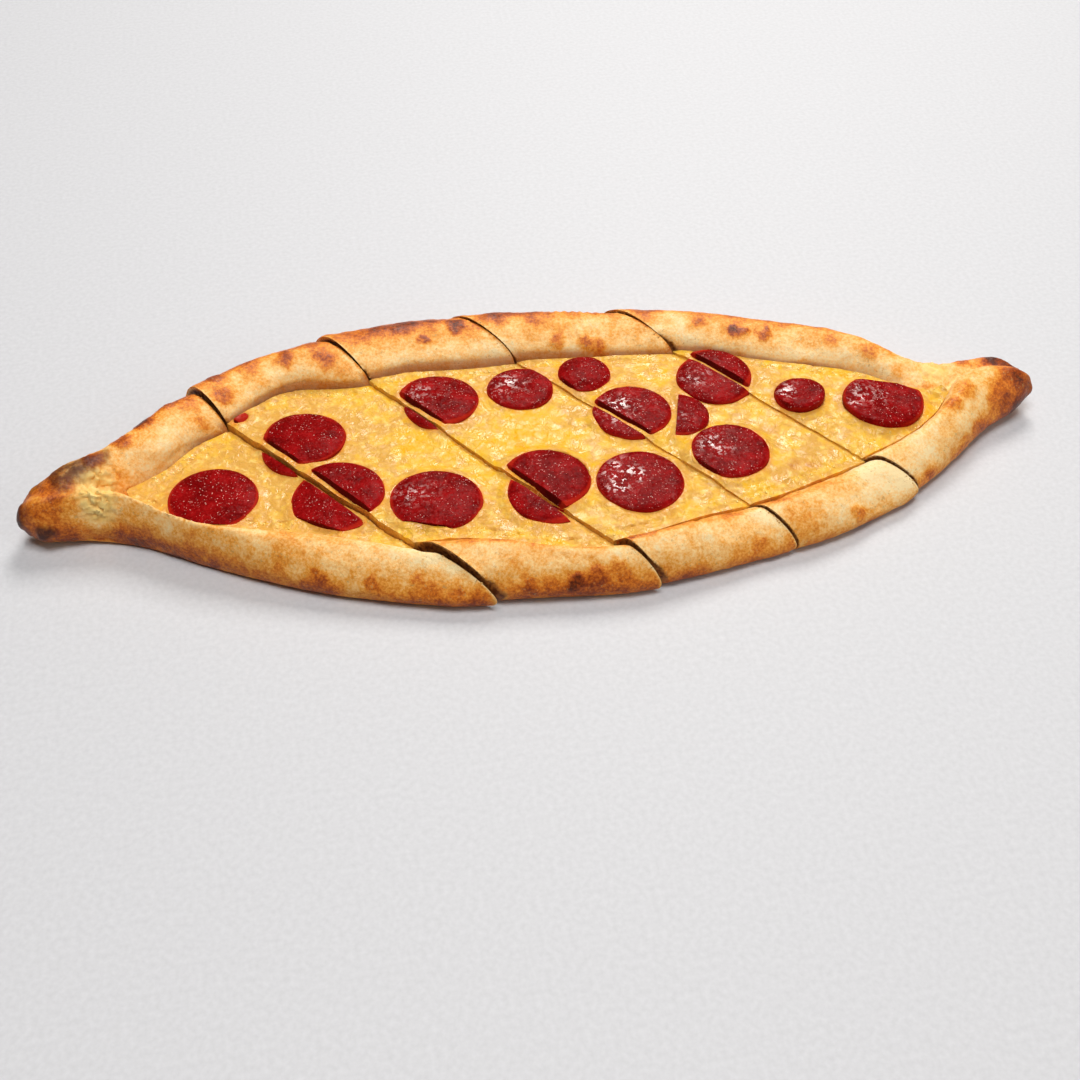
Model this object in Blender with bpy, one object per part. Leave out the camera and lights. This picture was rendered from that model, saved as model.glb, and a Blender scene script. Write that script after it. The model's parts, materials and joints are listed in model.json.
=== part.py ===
"""A baked Turkish pide: a boat-shaped flatbread with a folded rim, a cheese layer and sausage discs,
cut across on the slant into five slices that still lie together.

+X runs along the boat, +Y to its rear rim, +Z up. Sizes below are in millimetres.
"""

import math

import bmesh
import bpy
from mathutils import Vector

MM = 0.001
ACROSS_LIMIT = 100.0
BISECTIONS = 40

# Edges of the boat from above: (along, across) points, joined by smooth curves.
FRONT_EDGE = (
    (-208, -8), (-190, -10.5), (-171, -13.5), (-127, -38), (-84, -59), (-40, -70.5),
    (20, -74), (70, -67.5), (122, -54.5), (160, -31), (185, -13.5), (208, -4),
)
REAR_EDGE = (
    (-208, 10), (-192, 13.5), (-177, 23), (-153, 43.5), (-128, 63), (-94, 76), (-50, 84.5),
    (0, 82.5), (54, 75), (104, 61.5), (135, 47), (160, 25), (180, 18.5), (196, 16), (208, 11),
)
# Where the inner side of each rim meets the floor of the trough.
FRONT_FOOT = (
    (-208, 1), (-172, -0.5), (-154, -14.5), (-138, -23.5), (-112, -27.5), (-91, -33.5), (-64, -46),
    (-43, -46), (-22, -52.5), (8, -58.5), (25, -56), (56, -48.5), (73, -46.8), (110, -34), (138, -23.5),
    (154, -14), (167, -2), (176, 8), (190, 11), (208, 4),
)
REAR_FOOT = (
    (-208, 3), (-172, 3), (-154, 10.5), (-138, 26.5), (-126, 33), (-113, 43.5), (-98, 52), (-76, 49.5),
    (-64, 50), (-50, 52.5), (-20, 51.5), (0, 52), (20, 50.5), (60, 47), (75, 43.5), (98, 34),
    (138, 18.5), (151, 6.5), (168, 2), (177, 11), (190, 13.5), (208, 7),
)
# Heights along the boat: (along, height).
FRONT_CREST = (
    (-208, 20), (-180, 23.5), (-150, 20.5), (-100, 19.5), (-57, 18.5), (-20, 19), (14, 18), (40, 18.5),
    (70, 16), (96, 17), (122, 16), (150, 18.5), (175, 21.5), (208, 20),
)
REAR_CREST = ((-208, 20.5), (-180, 24), (-100, 22.5), (0, 22), (110, 22), (145, 21), (163, 15.5), (208, 17.5))
FLOOR = ((-208, 21), (-182, 23.5), (-173, 12), (-164, 6.5), (157, 6.5), (168, 12), (180, 15), (208, 18))
UNDERSIDE = ((-208, 5), (-188, 1.5), (-165, 0), (168, 0), (190, 1.5), (208, 5))

# Both ends close in a rounded knob.
LEFT_TIP = -208.0
RIGHT_TIP = 208.0
LEFT_ROUNDING = 17.0
RIGHT_ROUNDING = 13.0
KNOB_STEPS = 5
KNOB_LAST = 0.94

# Shape of each rim's outline: where its crest stands between edge and foot, how round its outer side
# is, from 0 for a straight slope to 1 for a quarter of an ellipse, the power of its inner side's curve,
# 2 for a quarter of an ellipse and more for a squarer shoulder, and how far that shoulder slopes.
FRONT_RIM = {"crest": 0.66, "round": 0.55, "power": 2.0, "slope": 0.0}
REAR_RIM = {"crest": 0.40, "round": 0.90, "power": 2.7, "slope": 0.16}
BELLY_SHARE = 0.34
UNDERCUT_SHARE = 0.20
LOWER_STEPS = 3
UPPER_STEPS = 4
INNER_STEPS = 5

# The slanted cuts, left to right. "at" is where a cut crosses the long axis and "slant" how far it
# runs to the left for each millimetre to the rear; over the rims it runs at "front" and "rear" instead,
# and "kink" is how far the front rim has been dragged along. "gap" and "rim_gap" are its width in the
# filling and at the rims. The slice on its right has slid back along it and been lifted, the one on
# its left the other way.
CUTS = (
    {
        "at": -101.0, "slant": 0.78, "front": 1.12, "rear": 0.86, "kink": 3.8,
        "gap": 2.0, "rim_gap": 1.3, "slide": 1.5, "lift": 1.7,
    },
    {
        "at": -31.6, "slant": 0.70, "front": 1.0, "rear": 0.76, "kink": 4.0,
        "gap": 1.3, "rim_gap": 1.0, "slide": 1.2, "lift": 1.2,
    },
    {
        "at": 34.8, "slant": 0.74, "front": 0.95, "rear": 0.84, "kink": -1.0,
        "gap": 0.8, "rim_gap": 0.9, "slide": 0.0, "lift": 0.7,
    },
    {
        "at": 97.4, "slant": 0.72, "front": 1.65, "rear": 0.84, "kink": 1.0,
        "gap": 0.8, "rim_gap": 0.9, "slide": 0.9, "lift": 0.7,
    },
)
LEFT_END = {"at": LEFT_TIP + LEFT_ROUNDING, "slant": 0.0, "front": 0.0, "rear": 0.0, "kink": 0.0}
RIGHT_END = {"at": RIGHT_TIP - RIGHT_ROUNDING, "slant": 0.0, "front": 0.0, "rear": 0.0, "kink": 0.0}
CUT_REACH = 46.0
DROP_SHARE = 0.45
LIFT_FROM = 10.0
SLICES = len(CUTS) + 1
END_SECTIONS = 14
SLICE_SECTIONS = 7

CHEESE_SKIP = 4
CHEESE_LEVEL = 11.2
CHEESE_CROWN = 0.9
CHEESE_GAP = 0.5
CHEESE_LEAST = 1.2
CHEESE_TOP_STEPS = 4
KINK_FADE = 4

SAUSAGE_THICKNESS = 4.8
SAUSAGE_BEVEL = 0.9
SAUSAGE_SIDES = 26
SAUSAGE_GAP = 0.4
FRONT_RIM_GAP = 1.7
REAR_RIM_GAP = 0.6
CUT_LEAN = 0.36
RIM_SAMPLES = (-0.8, -0.4, 0.0, 0.4, 0.8)
LEAST_TRIM = 0.05

# Sausage discs: centre, radius, slices that hold a piece of it, and where it is tilted, trimmed or
# dragged. A trim is a point on a straight cut and the direction in which the disc is taken away. A
# tilt is the direction that rises and its degrees. A drag is how far the knife has moved the left piece.
SAUSAGES = {
    "a": {"at": (-134.4, -8.1), "radius": 17.2, "slices": (1,)},
    "b": {"at": (-96.0, 17.8), "radius": 16.2, "slices": (1, 2), "drag": (-3.0, -2.2)},
    "c": {"at": (-84.9, -16.8), "radius": 17.4, "slices": (1, 2), "drag": (-3.4, 0.8)},
    "d": {"at": (-49.2, -25.8), "radius": 17.5, "slices": (2,)},
    "e": {"at": (-40.4, 31.2), "radius": 16.9, "slices": (2, 3), "drag": (1.4, 1.0)},
    "f": {"at": (-4.9, -23.2), "radius": 17.3, "slices": (2, 3), "drag": (-0.5, -4.2)},
    "g": {"at": (-6.0, 34.2), "radius": 13.9, "slices": (3, 4)},
    "h": {"at": (22.0, 38.0), "radius": 11.1, "slices": (4,), "tilt": (0, 1, 3)},
    "i": {"at": (36.3, 10.8), "radius": 16.3, "slices": (3, 4)},
    "j": {"at": (75.4, 26.4), "radius": 16.5, "slices": (4, 5), "tilt": (0.3, 1, 2)},
    "k": {
        "at": (53.5, 5.8), "radius": 13.6, "slices": (4,),
        "trims": (((62.9, 16.9), (0.74, 0.67)), ((54.9, 8.0), (-0.955, 0.295))),
    },
    "l": {"at": (69.5, -19.2), "radius": 15.7, "slices": (4,)},
    "m": {"at": (30.6, -29.5), "radius": 17.2, "slices": (3,)},
    "n": {"at": (107.3, 7.2), "radius": 10.4, "slices": (5,), "tilt": (1, -0.5, 6)},
    "o": {"at": (140.0, -2.0), "radius": 16.6, "slices": (5,), "tilt": (-0.2, -1, 3)},
    "p": {"at": (-121.6, 36.2), "radius": 4.8, "slices": (2,)},
}

COLOURS = {
    "dough": ((0.78, 0.47, 0.20, 1), 0.72),
    "cheese": ((0.83, 0.55, 0.12, 1), 0.35),
    "sausage": ((0.28, 0.022, 0.016, 1), 0.32),
}


def clear_scene():
    for item in list(bpy.data.objects):
        bpy.data.objects.remove(item, do_unlink=True)


def make_collection(name):
    collection = bpy.data.collections.new(name)
    bpy.context.scene.collection.children.link(collection)
    return collection


def make_material(name):
    colour, roughness = COLOURS[name]
    material = bpy.data.materials.new(name)
    material.use_nodes = True
    shader = material.node_tree.nodes["Principled BSDF"]
    shader.inputs["Base Color"].default_value = colour
    shader.inputs["Roughness"].default_value = roughness
    shader.inputs["Metallic"].default_value = 0.0
    return material


def tangents(curve):
    """Slopes at a curve's points that keep it from swinging past them."""
    steps = [(b[1] - a[1]) / (b[0] - a[0]) for a, b in zip(curve, curve[1:])]
    inner = [0.0 if a * b <= 0 else 2 * a * b / (a + b) for a, b in zip(steps, steps[1:])]
    return [steps[0], *inner, steps[-1]]


def along(curve, x):
    """The value at x of a smooth curve through its points."""
    slopes = tangents(curve)
    x = min(max(x, curve[0][0]), curve[-1][0])
    i = max(j for j in range(len(curve) - 1) if curve[j][0] <= x)
    (x0, y0), (x1, y1) = curve[i], curve[i + 1]
    span = x1 - x0
    t = (x - x0) / span
    start = (1 + 2 * t) * (1 - t) ** 2 * y0 + t * (1 - t) ** 2 * span * slopes[i]
    end = t * t * (3 - 2 * t) * y1 - t * t * (1 - t) * span * slopes[i + 1]
    return start + end


def meet(curve, start, slant):
    """The point of a curve on the line through start that runs slant to the left per unit to the rear."""
    low, high = -ACROSS_LIMIT, ACROSS_LIMIT
    for _ in range(BISECTIONS):
        y = (low + high) / 2
        if y < along(curve, start.x - slant * (y - start.y)):
            low = y
        else:
            high = y
    return Vector((start.x - slant * (low - start.y), low))


def rim_on(line, shape, foot_curve, edge_curve, crest_curve, slant, kink):
    """Edge, foot and heights of a rim on one slanted section line."""
    foot = meet(foot_curve, Vector((line["at"], 0)), line["slant"])
    foot.x += kink
    edge = meet(edge_curve, foot, slant)
    foot.x += line["shift"]
    edge.x += line["rim_shift"]
    middle = (edge.x + foot.x) / 2
    under = along(UNDERSIDE, middle)
    crest = along(crest_curve, middle)
    return {
        "edge": edge,
        "foot": foot,
        "shape": shape,
        "under": under,
        "belly": under + BELLY_SHARE * (crest - under),
        "crest": crest,
        "floor": along(FLOOR, foot.x),
    }


def front_rim(line):
    return rim_on(line, FRONT_RIM, FRONT_FOOT, FRONT_EDGE, FRONT_CREST, line["front"], line["kink"])


def rear_rim(line):
    return rim_on(line, REAR_RIM, REAR_FOOT, REAR_EDGE, REAR_CREST, line["rear"], 0.0)


def rim_point(rim, share, height):
    """A point at a share of the way from a rim's edge to its foot."""
    flat = rim["edge"].lerp(rim["foot"], share)
    return Vector((flat.x, flat.y, height))


def inner_rise(rim, share):
    """Height of a rim's inner side, from 1 at its crest to 0 at its foot, at a share of the way down."""
    power = rim["shape"]["power"]
    return (1 - share**power) ** (1 / power) * (1 - rim["shape"]["slope"] * share)


def rim_profile(rim):
    """Points of one rim from the underside, round its outer side and crest, down to its foot."""
    points = []
    top = rim["shape"]["crest"]
    for i in range(LOWER_STEPS):
        turn = math.radians(90) * i / LOWER_STEPS
        share = UNDERCUT_SHARE * (1 - math.sin(turn))
        points.append(rim_point(rim, share, rim["belly"] - (rim["belly"] - rim["under"]) * math.cos(turn)))
    for i in range(UPPER_STEPS):
        turn = math.radians(90) * i / UPPER_STEPS
        straight = i / UPPER_STEPS
        share = top * (straight + (1 - math.cos(turn) - straight) * rim["shape"]["round"])
        rise = straight + (math.sin(turn) - straight) * rim["shape"]["round"]
        points.append(rim_point(rim, share, rim["belly"] + (rim["crest"] - rim["belly"]) * rise))
    for i in range(INNER_STEPS + 1):
        share = math.sin(math.radians(90) * i / INNER_STEPS)
        height = rim["floor"] + (rim["crest"] - rim["floor"]) * inner_rise(rim, share)
        points.append(rim_point(rim, top + (1 - top) * share, height))
    return points


def wall_at(rim, height):
    """The point of a rim's inner side at a height above the floor."""
    rise = (height - rim["floor"]) / (rim["crest"] - rim["floor"])
    top = rim["shape"]["crest"]
    low, high = 0.0, 1.0
    for _ in range(BISECTIONS):
        share = (low + high) / 2
        if inner_rise(rim, share) > rise:
            low = share
        else:
            high = share
    return rim_point(rim, top + (1 - top) * low, height)


def end_scale(x):
    """How much a section shrinks towards its middle where an end rounds off."""
    left = (LEFT_TIP + LEFT_ROUNDING - x) / LEFT_ROUNDING
    right = (x - RIGHT_TIP + RIGHT_ROUNDING) / RIGHT_ROUNDING
    depth = max(left, right, 0.0)
    return math.sqrt(1 - depth * depth)


def under_point(flat, height):
    return Vector((flat.x, flat.y, height))


def dough_section(line):
    """One ring of the dough, from the front rim over the floor to the rear rim and back beneath."""
    front = front_rim(line)
    rear = rear_rim(line)
    middle = (front["foot"] + rear["foot"]) / 2
    floor = under_point(middle, (front["floor"] + rear["floor"]) / 2)
    below = [under_point(flat, front["under"]) for flat in (rear["foot"], middle, front["foot"])]
    ring = [*rim_profile(front), floor, *reversed(rim_profile(rear)), *below]
    flat = (front["edge"] + rear["edge"]) / 2
    centre = Vector((flat.x, flat.y, (front["under"] + front["crest"]) / 2))
    scale = end_scale(line["at"])
    return [Vector((p.x, *(centre.yz + (p.yz - centre.yz) * scale))) for p in ring]


def cheese_level(share):
    """Height of the cheese at a share of the way across, a little fuller in the middle."""
    return CHEESE_LEVEL + CHEESE_CROWN * math.sin(math.pi * share)


def cheese_section(line):
    front = front_rim(line)
    rear = rear_rim(line)
    low = max(front["floor"], rear["floor"]) + CHEESE_GAP
    high = max(CHEESE_LEVEL, low + CHEESE_LEAST)
    inward = (rear["foot"] - front["foot"]).normalized().to_3d() * CHEESE_GAP
    heights = (low, (low + high) / 2, high)
    near = [wall_at(front, z) + inward for z in heights]
    far = [wall_at(rear, z) - inward for z in heights]
    top = []
    for i in range(1, CHEESE_TOP_STEPS):
        share = i / CHEESE_TOP_STEPS
        point = near[-1].lerp(far[-1], share)
        point.x -= line["kink"] * ((1 - share) - (1 - share) ** KINK_FADE)
        point.z = high + cheese_level(share) - CHEESE_LEVEL
        top.append(point)
    below = near[0].lerp(far[0], 0.5)
    return [*near, *top, *reversed(far), below]


def line_of(cut, side):
    """The section line along one side of a cut: side is -1 for its left slice and 1 for its right."""
    spread = math.hypot(1, cut["slant"]) / 2 * side
    shifts = {"shift": cut.get("gap", 0) * spread, "rim_shift": cut.get("rim_gap", 0) * spread}
    return {**{key: cut[key] for key in ("at", "slant", "front", "rear", "kink")}, **shifts}


def blend_lines(first, last, share):
    return {key: first[key] + (last[key] - first[key]) * share for key in first}


def slice_lines(number):
    """Section lines across one slice, turning from one of its cuts or ends to the other."""
    guides = [LEFT_END, *CUTS, RIGHT_END]
    first = line_of(guides[number - 1], 1)
    last = line_of(guides[number], -1)
    count = END_SECTIONS if number in (1, SLICES) else SLICE_SECTIONS
    return [blend_lines(first, last, i / count) for i in range(count + 1)]


def knob_lines(tip, rounding):
    """Upright section lines that close an end, from its tip to where it is full."""
    turns = [math.radians(90) * i / KNOB_STEPS for i in range(KNOB_STEPS)]
    depths = [KNOB_LAST * math.cos(turn) for turn in turns]
    end = LEFT_END if tip == LEFT_TIP else RIGHT_END
    side = -1 if tip == LEFT_TIP else 1
    return [{**line_of(end, 1), "at": end["at"] + side * rounding * depth} for depth in depths]


def dough_lines(number):
    lines = slice_lines(number)
    if number == 1:
        lines = [*knob_lines(LEFT_TIP, LEFT_ROUNDING), *lines]
    if number == SLICES:
        lines = [*lines, *reversed(knob_lines(RIGHT_TIP, RIGHT_ROUNDING))]
    return lines


def cheese_lines(number):
    """The dough's section lines, less those at the ends, where there is no trough."""
    lines = slice_lines(number)
    if number == 1:
        lines = lines[CHEESE_SKIP:]
    if number == SLICES:
        lines = lines[:-CHEESE_SKIP]
    return lines


def close_ring(bm, ring, upper_count):
    """Closes the end of a loft with triangles between its upper and its lower line of points, so
    that the face stays upright where the line of points bends."""
    upper = ring[:upper_count]
    lower = [ring[0], *reversed(ring[upper_count:]), ring[upper_count - 1]]
    i, j = 0, 0
    while i < len(upper) - 1 or j < len(lower) - 1:
        up_next = upper[i + 1].co.y if i < len(upper) - 1 else math.inf
        low_next = lower[j + 1].co.y if j < len(lower) - 1 else math.inf
        if up_next <= low_next:
            corners = (upper[i], upper[i + 1], lower[j])
            i += 1
        else:
            corners = (upper[i], lower[j + 1], lower[j])
            j += 1
        if len(set(corners)) == 3:
            bm.faces.new(corners)


def loft(lines, section, upper_count):
    """A closed body through one ring of points on each section line."""
    bm = bmesh.new()
    rings = [[bm.verts.new(point) for point in section(line)] for line in lines]
    size = len(rings[0])
    for ring, following in zip(rings, rings[1:]):
        for i in range(size):
            j = (i + 1) % size
            bm.faces.new((ring[i], ring[j], following[j], following[i]))
    close_ring(bm, rings[0], upper_count)
    close_ring(bm, rings[-1], upper_count)
    bmesh.ops.recalc_face_normals(bm, faces=bm.faces)
    if bm.calc_volume(signed=True) < 0:
        bmesh.ops.reverse_faces(bm, faces=bm.faces)
    bmesh.ops.triangulate(bm, faces=bm.faces)
    return bm


def fade(distance):
    """1 at a cut, falling smoothly to 0 where its effect on a slice ends."""
    rest = max(0.0, 1 - max(distance, 0.0) / CUT_REACH)
    return rest * rest * (3 - 2 * rest)


def cut_distance(cut, x, y):
    """Distance to the right of a cut's middle line."""
    return (x + cut["slant"] * y - cut["at"]) / math.hypot(1, cut["slant"])


def settle_slice(point, number):
    """Moves a point of the whole boat to where it lies in one slice, slid and lifted by the cuts."""
    x, y, z = point
    moved = Vector(point)
    share = min(1.0, z / LIFT_FROM)
    if number > 1:
        cut = CUTS[number - 2]
        near = fade(cut_distance(cut, x, y))
        along_cut = Vector((-cut["slant"], 1, 0)).normalized()
        moved += along_cut * cut["slide"] * near
        moved.z += cut["lift"] * near * share
    if number < SLICES:
        cut = CUTS[number - 1]
        near = fade(-cut_distance(cut, x, y))
        along_cut = Vector((-cut["slant"], 1, 0)).normalized()
        moved -= along_cut * cut["slide"] * near
        moved.z -= DROP_SHARE * cut["lift"] * near * share
    return moved


def take_away(bm, point, direction, lean=0.0):
    """Cuts a body through a point, drops what lies that way and closes the face. The cut is upright,
    or takes away more by lean for each millimetre above the cheese."""
    normal = Vector((direction[0], direction[1], 0)).normalized()
    normal.z = lean
    place = Vector((*point, CHEESE_LEVEL))
    everything = [*bm.verts, *bm.edges, *bm.faces]
    bmesh.ops.bisect_plane(
        bm, geom=everything, dist=1e-5, plane_co=place, plane_no=normal.normalized(), clear_outer=True
    )
    rim = [edge for edge in bm.edges if edge.is_boundary]
    if rim:
        bmesh.ops.contextual_create(bm, geom=rim)
    bmesh.ops.recalc_face_normals(bm, faces=bm.faces)


def keep_slice(bm, number):
    """Cuts a piece of filling down to the part of it that lies in one slice."""
    if number > 1:
        line = line_of(CUTS[number - 2], 1)
        take_away(bm, (line["at"] + line["shift"], 0), (-1, -line["slant"]), CUT_LEAN)
    if number < SLICES:
        line = line_of(CUTS[number - 1], -1)
        take_away(bm, (line["at"] + line["shift"], 0), (1, line["slant"]))


def add_object(name, bm, material, collection):
    bmesh.ops.scale(bm, vec=(MM, MM, MM), verts=bm.verts)
    mesh = bpy.data.meshes.new(name)
    bm.to_mesh(mesh)
    bm.free()
    mesh.materials.append(material)
    mesh.shade_smooth()
    mesh.set_sharp_from_angle(angle=math.radians(40))
    part = bpy.data.objects.new(name, mesh)
    collection.objects.link(part)
    return part


def make_layer(name, lines_of, section, upper_count, material, collection):
    """One body per slice of the dough or of the cheese."""
    for number in range(1, SLICES + 1):
        bm = loft(lines_of(number), section, upper_count)
        for vert in bm.verts:
            vert.co = settle_slice(vert.co, number)
        add_object(f"{name}_{number}", bm, material, collection)


def disc(radius):
    """A slice of sausage, flat on z = 0, with rounded rims."""
    bm = bmesh.new()
    bmesh.ops.create_cone(
        bm,
        cap_ends=True,
        segments=SAUSAGE_SIDES,
        radius1=radius,
        radius2=radius,
        depth=SAUSAGE_THICKNESS,
    )
    bmesh.ops.translate(bm, verts=bm.verts, vec=(0, 0, SAUSAGE_THICKNESS / 2))
    rims = [edge for edge in bm.edges if abs(edge.verts[0].co.z - edge.verts[1].co.z) < 1e-6]
    bmesh.ops.bevel(bm, geom=rims, offset=SAUSAGE_BEVEL, segments=1, affect="EDGES", clamp_overlap=True)
    caps = [face for face in bm.faces if len(face.verts) > 4]
    bmesh.ops.poke(bm, faces=caps)
    return bm


def tilt_rise(x, y, sausage):
    """Extra height of a tilted disc, none at its lowest edge."""
    if "tilt" not in sausage:
        return 0.0
    over_x, over_y, degrees = sausage["tilt"]
    length = math.hypot(over_x, over_y)
    reach = (x * over_x + y * over_y) / length + sausage["radius"]
    return reach * math.tan(math.radians(degrees))


def upright_line(x):
    """The section line straight across the boat at a place along it, for the sizes of the rims beside it."""
    return {"at": x, "slant": 0.0, "front": 0.0, "rear": 0.0, "kink": 0.0, "shift": 0.0, "rim_shift": 0.0}


def bed_height(x, y):
    """Height of the cheese under a point of the whole boat."""
    near = wall_at(front_rim(upright_line(x)), CHEESE_LEVEL)
    far = wall_at(rear_rim(upright_line(x)), CHEESE_LEVEL)
    share = min(max((y - near.y) / (far.y - near.y), 0.0), 1.0)
    return cheese_level(share)


def trim_to_rim(bm, sausage, number, rim, side):
    """Takes off what would run into a rim. side is -1 for the front rim and 1 for the rear one."""
    for share in RIM_SAMPLES:
        x = sausage["at"][0] + share * sausage["radius"]
        ends = []
        for station in (x - 1, x + 1):
            wall = wall_at(rim(upright_line(station)), CHEESE_LEVEL)
            ends.append(settle_slice(wall, number))
        run = (ends[1] - ends[0]).normalized()
        outward = Vector((-run.y, run.x, 0)) * side
        gap = FRONT_RIM_GAP if side < 0 else REAR_RIM_GAP
        point = (ends[0] + ends[1]) / 2 - outward * gap
        if max((vert.co - point).dot(outward) for vert in bm.verts) > LEAST_TRIM:
            take_away(bm, point.to_2d(), outward)


def make_sausage(letter, sausage, material, collection):
    """A disc lying on the cheese, or the pieces that the cuts have made of it."""
    for number in sausage["slices"]:
        bm = disc(sausage["radius"])
        centre_x, centre_y = sausage["at"]
        if "drag" in sausage and number == sausage["slices"][0]:
            centre_x += sausage["drag"][0]
            centre_y += sausage["drag"][1]
        for vert in bm.verts:
            rise = tilt_rise(vert.co.x, vert.co.y, sausage)
            x = vert.co.x + centre_x
            y = vert.co.y + centre_y
            z = vert.co.z + bed_height(x, y) + SAUSAGE_GAP + rise
            vert.co = settle_slice((x, y, z), number)
        bmesh.ops.triangulate(bm, faces=bm.faces)
        for point, direction in sausage.get("trims", ()):
            take_away(bm, point, direction)
        trim_to_rim(bm, sausage, number, front_rim, -1)
        trim_to_rim(bm, sausage, number, rear_rim, 1)
        keep_slice(bm, number)
        name = f"sausage_{letter}"
        if len(sausage["slices"]) > 1:
            name += "_left" if number == sausage["slices"][0] else "_right"
        add_object(name, bm, material, collection)


def centre_on_origin(collection):
    """Shifts every piece so that the middle of the underside's box is the origin."""
    corners = [vert.co for part in collection.objects for vert in part.data.vertices]
    middle_x = (min(c.x for c in corners) + max(c.x for c in corners)) / 2
    middle_y = (min(c.y for c in corners) + max(c.y for c in corners)) / 2
    for part in collection.objects:
        part.location = (-middle_x, -middle_y, 0)
    print(f"origin lies at {middle_x / MM:.3f}, {middle_y / MM:.3f} mm of the drawing")


def main():
    clear_scene()
    pide = make_collection("turkish_pide")
    materials = {name: make_material(name) for name in COLOURS}
    rim_points = LOWER_STEPS + UPPER_STEPS + INNER_STEPS + 1
    make_layer("dough", dough_lines, dough_section, 2 * rim_points + 1, materials["dough"], pide)
    cheese_points = 6 + CHEESE_TOP_STEPS - 1
    make_layer("cheese", cheese_lines, cheese_section, cheese_points, materials["cheese"], pide)
    for letter, sausage in SAUSAGES.items():
        make_sausage(letter, sausage, materials["sausage"], pide)
    centre_on_origin(pide)


main()
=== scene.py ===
"""A cut Turkish pide: baked crust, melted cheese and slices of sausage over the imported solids."""

import json
import math

import bmesh
import bpy
import numpy as np
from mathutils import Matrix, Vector
from mathutils.bvhtree import BVHTree
from mathutils.geometry import convex_hull_2d

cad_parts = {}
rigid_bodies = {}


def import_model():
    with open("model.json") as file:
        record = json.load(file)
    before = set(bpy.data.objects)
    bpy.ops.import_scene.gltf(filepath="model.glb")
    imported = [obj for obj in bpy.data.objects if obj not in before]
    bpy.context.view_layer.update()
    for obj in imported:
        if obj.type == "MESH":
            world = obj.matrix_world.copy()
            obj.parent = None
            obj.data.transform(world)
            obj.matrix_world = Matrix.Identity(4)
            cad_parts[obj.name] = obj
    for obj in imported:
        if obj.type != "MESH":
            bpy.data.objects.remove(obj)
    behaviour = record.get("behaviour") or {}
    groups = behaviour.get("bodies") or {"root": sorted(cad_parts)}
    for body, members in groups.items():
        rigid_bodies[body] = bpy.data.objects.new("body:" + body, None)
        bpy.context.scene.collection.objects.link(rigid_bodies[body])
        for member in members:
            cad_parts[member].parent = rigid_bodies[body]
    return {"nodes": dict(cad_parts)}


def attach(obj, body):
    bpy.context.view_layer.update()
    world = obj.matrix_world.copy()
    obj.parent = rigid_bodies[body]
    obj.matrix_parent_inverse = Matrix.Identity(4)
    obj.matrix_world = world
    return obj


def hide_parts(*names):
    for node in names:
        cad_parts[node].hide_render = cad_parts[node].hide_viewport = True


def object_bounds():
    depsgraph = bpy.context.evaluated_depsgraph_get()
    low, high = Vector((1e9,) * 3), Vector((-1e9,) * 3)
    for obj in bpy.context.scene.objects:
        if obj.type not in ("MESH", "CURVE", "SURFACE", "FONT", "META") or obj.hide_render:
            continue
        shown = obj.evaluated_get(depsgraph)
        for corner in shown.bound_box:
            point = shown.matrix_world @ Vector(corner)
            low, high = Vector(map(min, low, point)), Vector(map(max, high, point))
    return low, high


bl_info = {
    "name": "Turkish Pide",
    "version": (1, 0, 0),
    "blender": (4, 5, 0),
    "location": "3D View > Sidebar > Pide",
    "description": "Bakes the crust, melts the cheese and lays the sausage of a cut pide",
    "category": "Object",
}

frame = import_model()
LOADED_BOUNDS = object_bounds()
MM = 0.001
SLICES = range(1, 6)


def tone(code):
    """A colour written as on screen, such as F2C48A, as the linear values that nodes take."""
    parts = [int(code[i : i + 2], 16) / 255 for i in (0, 2, 4)]
    return tuple(p / 12.92 if p <= 0.04045 else ((p + 0.055) / 1.055) ** 2.4 for p in parts)


# ---------------------------------------------------------------- numbers over space


def cell_number(cells, seed):
    """A fixed number from 0 to 1 for each whole-number cell."""
    x, y, z = (cells[:, i].astype(np.int64) for i in range(3))
    mixed = x * 374761393 + y * 668265263 + z * 1440662683 + seed * 974634777
    mixed = (mixed ^ (mixed >> 13)) * 1274126177
    mixed = (mixed ^ (mixed >> 16)) & 0xFFFFFF
    return mixed / 0xFFFFFF


def ripple(points, size, seed=0):
    """Smooth noise from -1 to 1 whose lumps are about as wide as size."""
    scaled = points / size + seed * 17.31
    base = np.floor(scaled)
    part = scaled - base
    part = part * part * part * (part * (part * 6 - 15) + 10)
    total = np.zeros(len(points))
    for corner in np.ndindex(2, 2, 2):
        weight = np.prod(np.where(corner, part, 1 - part), axis=1)
        total += weight * cell_number(base + np.array(corner), seed)
    return total * 2 - 1


def rough(points, size, seed=0, layers=3):
    """Ripples laid over each other, each half as wide and half as high as the one before."""
    total = np.zeros(len(points))
    for i in range(layers):
        total += ripple(points, size / 2**i, seed + i) / 2**i
    return total / (2 - 0.5 ** (layers - 1))


def lumps(points, size, seed=0):
    """Rounded lumps with creases between them, from 0 in a crease to 1 on a lump."""
    scaled = points / size
    base = np.floor(scaled)
    first = np.full(len(points), 9.0)
    second = np.full(len(points), 9.0)
    for offset in np.ndindex(3, 3, 3):
        cell = base + np.array(offset) - 1
        centre = cell + np.stack([cell_number(cell, seed + i) for i in range(3)], axis=1)
        distance = np.linalg.norm(scaled - centre, axis=1)
        second = np.minimum(second, np.maximum(first, distance))
        first = np.minimum(first, distance)
    return np.clip((second - first) * 2.2, 0, 1)


def fade(values, low, high):
    """0 at low and 1 at high, smooth between; low may be the larger."""
    share = np.clip((values - low) / (high - low), 0, 1)
    return share * share * (3 - 2 * share)


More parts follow.
